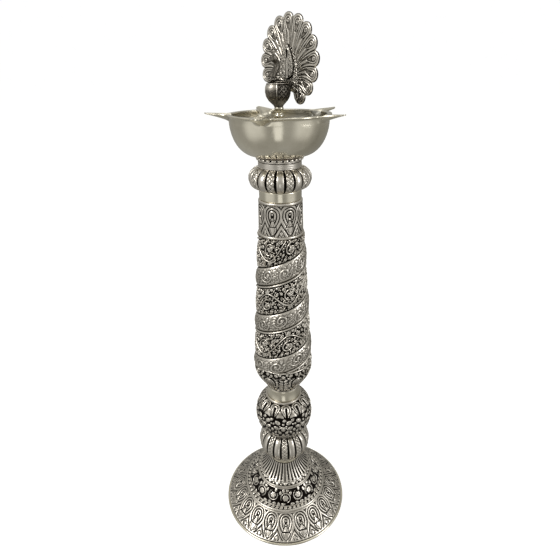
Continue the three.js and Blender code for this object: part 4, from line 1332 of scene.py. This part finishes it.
def crest():
    """Five thin plumes with drop-shaped tips, fanned out over the head."""
    foot_x, foot_z = 8.0, BODY_TOP + 31.9
    length = 7.6
    # share of the length, and radius there
    swelling = ((0, 0.5), (0.25, 0.42), (0.55, 0.4), (0.68, 0.9), (0.82, 1.25), (0.94, 0.8), (1, 0.1))
    plumes = []
    for lean in np.radians(np.linspace(-38, 38, 5)):
        out = np.array([-math.sin(lean) - 0.1, math.cos(lean)])
        start = foot_x + 1.6 * -math.sin(lean)
        path = [[start + length * s * out[0], foot_z + length * s * out[1], r] for s, r in swelling]
        plumes.append(tube_points(spline(path, 26), 14))
    bird_piece(join_grids("crest", plumes), "crest")


def feather_tips():
    """Middles of the eyes, from one side of the fan to the other, as across and up."""
    angle = math.pi / 2 + (np.arange(TAIL_FEATHERS) - (TAIL_FEATHERS - 1) / 2) * FEATHER_STEP
    return np.column_stack([TAIL_HALF_WIDTH * np.cos(angle),
                            BODY_TOP + TAIL_MIDDLE + TAIL_HALF_HEIGHT * np.sin(angle)])


def fan_edge(angle):
    """Distance from the fan's middle to its edge of round feather tips."""
    ray = np.column_stack([np.cos(angle), np.sin(angle)])
    tips = feather_tips() - [0, BODY_TOP + TAIL_MIDDLE]
    along = ray @ tips.T
    inside = FEATHER_TIP_R ** 2 - (np.sum(tips ** 2, axis=1) - along ** 2)
    reach = np.where((inside > 0) & (along > 0), along + np.sqrt(np.maximum(inside, 0)), 0)
    return np.maximum(reach.max(axis=1), 36.2) - 0.15


COVERT_FOOT = BODY_TOP + GAP
COVERT_TALL = 44.0
COVERT_HALF = 13.0

# Scales over the tail's root, on the fan and on the plate in front of it
SCALE_ARCH_FOOT = 10.0
SCALE_ARCH_TALL = 66.0
SCALE_ARCH_HALF = 19.5
SCALE_PITCH = 7.4


def scale_arch(up):
    """Half width of the stretch of scales at a height."""
    t = np.clip((up - SCALE_ARCH_FOOT) / SCALE_ARCH_TALL, 0, 1)
    return SCALE_ARCH_HALF * np.sqrt(1 - t ** 2.6)


def covert_scales(across, up):
    """Rows of round-topped scales, each with a dark dot, either side of a plain quill."""
    field = np.full(np.shape(across), -0.6)
    for row in range(8, -1, -1):
        for shift, out in ((0.5, 0.84), (0, 0.46)):
            cy = SCALE_ARCH_FOOT + 3 + (row + shift) * SCALE_PITCH
            half = float(scale_arch(cy + 2))
            r = max(0.27 * half, 2.6)
            for side in (1, -1):
                dx, dz = across - side * out * half, up - cy
                drop = onion(dx, dz, r, 1.15 * SCALE_PITCH)
                own = 1.5 * bar((drop - 0.76) * r, 0.5 * r + 0.6) ** 0.6 - 0.5
                own = np.maximum(own, 0.5 * (drop < 0.42))
                own = np.where(np.hypot(dx, dz) < 1.0, -0.9, own)
                own = np.where(drop > 0.98, -0.9, own)
                field = np.where(drop < 1.1, own, field)
    quill = 1 - (across / 2.4) ** 2
    field = np.where(np.abs(across) < 3.2, -0.7, field)
    field = np.where(quill > 0, 0.8 * np.clip(quill, 0, 1) ** 0.5, field)
    tip = onion(across, up - SCALE_ARCH_FOOT - 59.5, 4.2, 11)
    own = 1.2 * bar((tip - 0.75) * 4.2, 2.2) - 0.3
    own = np.where(np.hypot(across, up - SCALE_ARCH_FOOT - 59) < 1.2, -0.8, own)
    return np.where(tip < 1.05, own, field)


def feather_axis(tip, root):
    """Middle line of a feather: steep at the root, and square to the fan's edge at its tip."""
    out = tip - np.array([0, BODY_TOP + TAIL_MIDDLE])
    bend = tip - 0.52 * np.hypot(*(tip - root)) * out / np.hypot(*out)
    t = np.linspace(0, 1, 56)[:, None]
    return (1 - t) ** 2 * root + 2 * t * (1 - t) * bend + t ** 2 * tip


def tip_place(across, up, tip):
    """Place about the middle of an eye, with y outward along the fan's radius."""
    out = tip - np.array([0, BODY_TOP + TAIL_MIDDLE])
    out = out / np.hypot(*out)
    dx, dz = across - tip[0], up - tip[1]
    return dx * out[1] - dz * out[0], dx * out[0] + dz * out[1]


def fan_feathers(across, up):
    """Curved feathers that widen from the root to round tips, with rims, a quill and an eye each."""
    root = np.array([0, BODY_TOP - 4.0])
    nearest = np.full(np.shape(across), 9.0)
    second = nearest
    width = np.zeros(np.shape(across))
    field = np.full(np.shape(across), -0.5)
    for tip in feather_tips():
        axis = feather_axis(tip, root)
        steps = np.hypot(*np.diff(axis, axis=0).T)
        left = np.concatenate([np.cumsum(steps[::-1])[::-1], [0]])
        away = np.hypot(across[..., None] - axis[:, 0], up[..., None] - axis[:, 1])
        place = away.argmin(axis=-1)
        aside = np.take_along_axis(away, place[..., None], -1)[..., 0]
        size = 1 - 0.86 * left[place] / left[0]
        drop = aside / (FEATHER_TIP_R * size)
        own = np.maximum(1.3 * bar(drop - 0.76, 0.5) ** 0.6, 1.1 * bar(drop, 0.5) ** 0.6) - 0.5
        out = np.hypot(across - tip[0], up - tip[1])
        inner = onion(*tip_place(across, up, tip), 6.0, 13.0)
        eye = 1.3 * bar(inner * 6 - 4.8, 2.6) ** 0.6 - 0.6
        eye = np.maximum(eye, 1.1 * bar(out - 2.0, 1.6) - 0.6)
        eye = np.where(out < 0.9, 0.1, eye)
        own = np.where(inner < 1.06, eye, own)
        own = own - 2.0 * ramp(drop, 0.86, 1.0) * (size < 0.98)
        field = np.where(drop < nearest, own, field)
        width = np.where(drop < nearest, size, width)
        second = np.minimum(second, np.maximum(nearest, drop))
        nearest = np.minimum(nearest, drop)
    field = field - 2.6 * bar(second - nearest, 0.36) * ramp(width, 0.4, 0.6)
    field = np.where(nearest > 1.06, -0.6, field)
    arch, top = scale_arch(up), SCALE_ARCH_FOOT + SCALE_ARCH_TALL
    field = np.where((np.abs(across) < arch) & (up < top), covert_scales(across, up), field)
    return np.where((np.abs(np.abs(across) - arch) < 0.9) & (up < top), -0.3, field)


def relief_plate(name, middle, edge, front, thickness, face, back, columns, rows, wear_and_shade,
                 margin=1.2):
    """Plate across the bird: a relief on its face and its back, inside an edge given by angle."""
    depth = 0.55
    angle = circle(columns)
    reach = edge(angle)
    share = np.linspace(0.004, 1, rows)[:, None] ** 0.85
    across = share * reach * np.cos(angle)
    up = middle + share * reach * np.sin(angle)
    flat = 1 - ramp(share * reach, reach - margin, reach)
    face_height, back_height = face(across, up) * flat, back(across, up) * flat
    near = front - 0.6 + flat * 0.6 + depth * face_height
    far = front - thickness + 0.5 - flat * 0.5 - depth * back_height
    points = np.concatenate([np.dstack([far, across, up]), np.dstack([near, across, up])[::-1]])
    cell_size = reach.mean() / rows
    # the patina gets worn brightness and painted shade by place from wear_and_shade
    patina = [patina_of(height, cell_size, cell_size, 1.8, 2.4, wear_and_shade(across, up))
              for height in (back_height, face_height)]
    return grid_mesh(name, points, False, np.concatenate([patina[0], patina[1][::-1]]))


def fan_wear_and_root_shade(across, up):
    """Worn bright towards the tips; painted shade darkens it about the root, behind the body."""
    out = np.hypot(across, up - BODY_TOP)
    return 0.32 * ramp(out, 10, 30) - 0.25 * (1 - ramp(out, 2, 14))


def fan_back(across, up):
    return 0.6 * fan_feathers(across, up)


def tail_fan():
    mesh = relief_plate("tail_fan", BODY_TOP + TAIL_MIDDLE, fan_edge, TAIL_FRONT - 0.6,
                        TAIL_THICKNESS - 0.6, fan_feathers, fan_back, 720, 66, fan_wear_and_root_shade)
    bird_piece(mesh, "tail_fan")


def covert_edge(angle):
    """Distance from the middle of the short feathers to their pointed edge."""
    turn = np.linspace(-math.pi, math.pi, 721)
    rise = 0.5 + 0.5 * np.sin(turn)
    across = COVERT_HALF * np.cos(turn) * (1.15 - 0.62 * rise)
    up = COVERT_TALL * (rise - 0.4)
    around = np.unwrap(np.arctan2(up, across))
    order = np.argsort(around)
    return np.interp(angle, around[order], np.hypot(across, up)[order], period=TAU)


def covert_crown(across, up):
    return covert_scales(across, up) + 1.4 * (1 - (across / 15) ** 2)


def covert_back(across, up):
    return 0 * across


# worn a little brighter, with painted shade at the foot where the coverts meet the body
def covert_wear_and_foot_shade(across, up):
    return 0.2 - 1.0 * (1 - ramp(up - COVERT_FOOT, 2, 13))


def tail_coverts():
    """Thin plate, thickest on its middle line, close over the fan."""
    mesh = relief_plate("tail_coverts", COVERT_FOOT + 0.4 * COVERT_TALL, covert_edge,
                        TAIL_FRONT + GAP + 1.3, 1.2, covert_crown, covert_back, 420, 90,
                        covert_wear_and_foot_shade, margin=2.2)
    bird_piece(mesh, "tail_coverts")


def tail_rivets():
    """Two rivets with domed heads behind the fan."""
    back = TAIL_FRONT - TAIL_THICKNESS - GAP
    shank, end = 2.0, TAIL_THICKNESS + 8 + GAP
    outline = rounded([[0, -1.7], [1.4, -1.6], [2.5, -1.2], [3.3, -0.6], [3.6, 0], [shank, 0.05],
                       [shank, end], [0, end]], 0.2)
    upright = revolved(np.maximum(outline[:, :1], AXIS_R), outline[:, 1:], 40)
    for number, across in ((1, -7.0), (2, 7.0)):
        points = upright[:, :, [2, 0, 1]] + [back, across, 0.62 * BODY_TOP]
        name = "tail_rivet_" + str(number)
        bird_piece(grid_mesh(name, points, False), name, "polished_nickel")


def closing_plate():
    """Plate under the foot, with shallow turned rings on its underside."""
    low, high = span("closing_plate")
    hole, radius = 5.4, 122.7
    r = np.linspace(hole, radius, 120)
    grooves = 0.12 * (1 + np.sin(r * 0.9)) + 0.5 * ramp(-np.abs(r - 60), -3, 0)
    under = np.column_stack([r, low + grooves])
    turned_piece("closing_plate", under, [[radius, high], [hole, high]], 200, 110, None, "dark_metal")


# Pieces of the lamp
def build_lamp():
    closing_plate()
    foot_ring()
    base_skirt()
    outer_ring()
    floral_tier()
    plain_ring("inner_ring", INNER_RING_R, 5, shade=0.45)
    fluted_cone()
    plain_band("base_collar", COLLAR_R)
    ribbed_bulb("lower_bulb", LOWER_BULB_R, False)
    plain_ring("waist_ring", WAIST_R, 4, finish="dark_metal")
    ball()
    plain_ring("ball_ring", BALL_RING_R, 5, shade=0.5)
    plain_band("neck_band", NECK_R, waist=0.8)
    leaf_cup()
    column()
    plain_ring("lower_sleeve_ring", LOWER_SLEEVE_RING_R, 4, shade=0.7)
    feather_sleeve()
    plain_ring("upper_sleeve_ring", UPPER_SLEEVE_RING_R, 4, shade=0.7)
    plain_band("plain_band", BAND_R)
    ribbed_bulb("upper_bulb", UPPER_BULB_R, True)
    top_collar()
    plain_ring("bead_ring", BEAD_RING_R, 2, 720, bead_row)
    washer("bowl_seat_washer", 33.8, 13.4, "bowl_seat")
    bowl()
    bowl_boss()
    washer("finial_washer", 8.5, 4.3, "finial_seat")
    finial_stem()
    bird_body()
    bird_neck()
    crest()
    tail_fan()
    tail_coverts()
    tail_rivets()


def dress_inner_nodes():
    """Rod, nuts, discs and weight keep their CAD shape and get a finish each."""
    looks = {
        "dark_metal": ("ballast_ring", "base_disc", "ball_disc", "neck_disc", "column_disc",
                       "sleeve_disc"),
        "steel_hardware": ("tie_rod", "foot_nut", "foot_washer", "top_nut", "top_cap"),
    }
    for look, names in looks.items():
        for name in names:
            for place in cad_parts[name].material_slots:
                place.material = FINISHES[look]


# Camera: looks along +Y, pitched down and rolled by so many degrees
CAMERA_AT = Vector((0, -0.640, 0.849))
CAMERA_PITCH = 26.5656
CAMERA_ROLL = -0.95
CAMERA_FOCUS_PX = 420.9
PHOTO_PX = 560
SENSOR_MM = 36
SHIFT_X = (280 - 281.8) / PHOTO_PX


def add_camera():
    data = bpy.data.cameras.new("camera")
    data.sensor_width = SENSOR_MM
    data.lens = CAMERA_FOCUS_PX * SENSOR_MM / PHOTO_PX
    data.shift_x = SHIFT_X
    data.clip_start = 0.02
    data.clip_end = 50
    camera = bpy.data.objects.new("camera", data)
    pitched = Matrix.Rotation(math.radians(90 - CAMERA_PITCH), 4, "X")
    rolled = Matrix.Rotation(math.radians(CAMERA_ROLL), 4, "Z")
    camera.matrix_world = Matrix.Translation(CAMERA_AT) @ pitched @ rolled
    bpy.context.scene.collection.objects.link(camera)
    bpy.context.scene.camera = camera


# Stage: a round floor of white paper with a wall round it, both far wider than the view
STAGE_RADIUS = 30.0
STAGE_SIDES = 96
WALL_RISE = 30.0


def stage_piece(name, points, faces, white, glow):
    """Matt white surface that glows, so that it stays white where the soft lights don't reach.
    The lamp mirrors the room that is painted in the world, and not this."""
    mesh = bpy.data.meshes.new(name)
    mesh.from_pydata(points, [], faces)
    finish = Finish(name, 0.0)
    shade = finish.spread(finish.noise(2.5, 2), 0.3, 0.7, 0.0, 1.0)
    finish.colours(shade, [(0.0, (white,) * 3), (1.0, (white + 0.02,) * 3)])
    for key, value in (("Roughness", 0.9), ("Specular IOR Level", 0.0),
                       ("Emission Color", (1, 1, 1, 1)), ("Emission Strength", glow)):
        finish.shader.inputs[key].default_value = value
    mesh.materials.append(finish.material)
    thing = bpy.data.objects.new(name, mesh)
    bpy.context.scene.collection.objects.link(thing)
    thing.visible_glossy = False
    return thing


def add_stage():
    def ring(z):
        return [(STAGE_RADIUS * math.cos(a), STAGE_RADIUS * math.sin(a), z) for a in circle(STAGE_SIDES)]

    steps = range(STAGE_SIDES)
    stage_piece("floor", ring(-0.0002), [list(steps)], 0.78, 0.62)
    beside = [(i + 1) % STAGE_SIDES for i in steps]
    sides = [[j, i, i + STAGE_SIDES, j + STAGE_SIDES] for i, j in zip(steps, beside)]
    wall = stage_piece("wall", ring(-0.1) + ring(WALL_RISE), sides, 0.0, 1.0)
    wall.visible_diffuse = False
    wall.visible_shadow = False


def add_softbox(name, at, target, width, height, watts, colour=(1, 1, 1)):
    data = bpy.data.lights.new(name, "AREA")
    data.shape = "RECTANGLE"
    data.size, data.size_y = width, height
    data.energy = watts
    data.color = colour
    light = bpy.data.objects.new(name, data)
    aim = (Vector(target) - Vector(at)).to_track_quat("-Z", "Y")
    light.location, light.rotation_euler = at, aim.to_euler()
    bpy.context.scene.collection.objects.link(light)


class Room(Nodes):
    """Tones of the room by direction: a gradient by height, and soft bright or dark areas on it."""

    def __init__(self):
        self.world = bpy.data.worlds.new("studio")
        self.world.use_nodes = True
        super().__init__(self.world.node_tree)
        parts = self.add("ShaderNodeSeparateXYZ")
        self.feed(parts, 0, self.add("ShaderNodeTexCoord").outputs["Generated"])
        x, y, self.z = parts.outputs
        self.turn = self.maths("ARCTAN2", x, self.maths("MULTIPLY", y, -1.0))
        self.lift = self.maths("ARCSINE", self.z)

    def window(self, value, middle, half, soft):
        """1 within half of the middle of a range, falling to 0 over soft; in degrees."""
        away = self.maths("ABSOLUTE", self.maths("SUBTRACT", value, math.radians(middle)))
        return self.spread(away, math.radians(half), math.radians(half + soft), 1.0, 0.0, "SMOOTHSTEP")

    def area(self, turn, half_turn, lift, half_lift, soft, strength):
        """Soft-edged area, in degrees; turn is 0 towards the camera and grows to the right."""
        mask = self.maths("MULTIPLY", self.window(self.turn, turn, half_turn, soft),
                          self.window(self.lift, lift, half_lift, soft))
        return self.maths("MULTIPLY", mask, strength)

    def finish(self, stops, areas):
        """Puts the areas on the gradient, whose stops are a height in degrees and a tone."""
        height = self.maths("ADD", self.maths("MULTIPLY", self.z, 0.5), 0.5)
        gradient = self.colour_by(height, [
            (0.5 + 0.5 * math.sin(math.radians(degrees)), (tone, 0.985 * tone, 0.93 * tone))
            for degrees, tone in stops
        ])
        total = areas[0]
        for area in areas[1:]:
            total = self.maths("ADD", total, area)
        both = self.add("ShaderNodeMix", data_type="RGBA", blend_type="ADD")
        self.feed(both, "Factor", 1.0)
        self.feed(both, 6, gradient)
        self.feed(both, 7, total)
        self.feed(self.nodes["Background"], "Color", both.outputs[2])
        self.feed(self.nodes["Background"], "Strength", 1.0)
        bpy.context.scene.world = self.world


def add_lights():
    middle = (0, 0, 0.45)
    add_softbox("key", (-2.1, -1.5, 2.3), middle, 1.2, 1.4, 34, (1, 0.985, 0.965))
    add_softbox("fill", (2.4, -1.3, 1.4), middle, 0.8, 2.0, 16, (0.98, 0.985, 1))
    add_softbox("top", (0.2, 0.6, 2.9), middle, 1.6, 1.2, 7)
    room = Room()
    # a small window low in front, a soft bright area on each side, and a darker back
    areas = [
        room.area(-2, 9, -26, 17, 2, 0.55),
        room.area(-60, 12, 6, 30, 25, 0.30),
        room.area(60, 10, 4, 28, 25, 0.28),
        room.area(180, 70, 0, 60, 20, -0.08),
    ]
    tones = [(-90, 0.30), (-50, 0.33), (-12, 0.32), (4, 0.42), (30, 0.51), (90, 0.50)]
    room.finish(tones, areas)
    bpy.context.scene.view_settings.view_transform = "Standard"


add_camera()
build_lamp()
dress_inner_nodes()
add_stage()
add_lights()
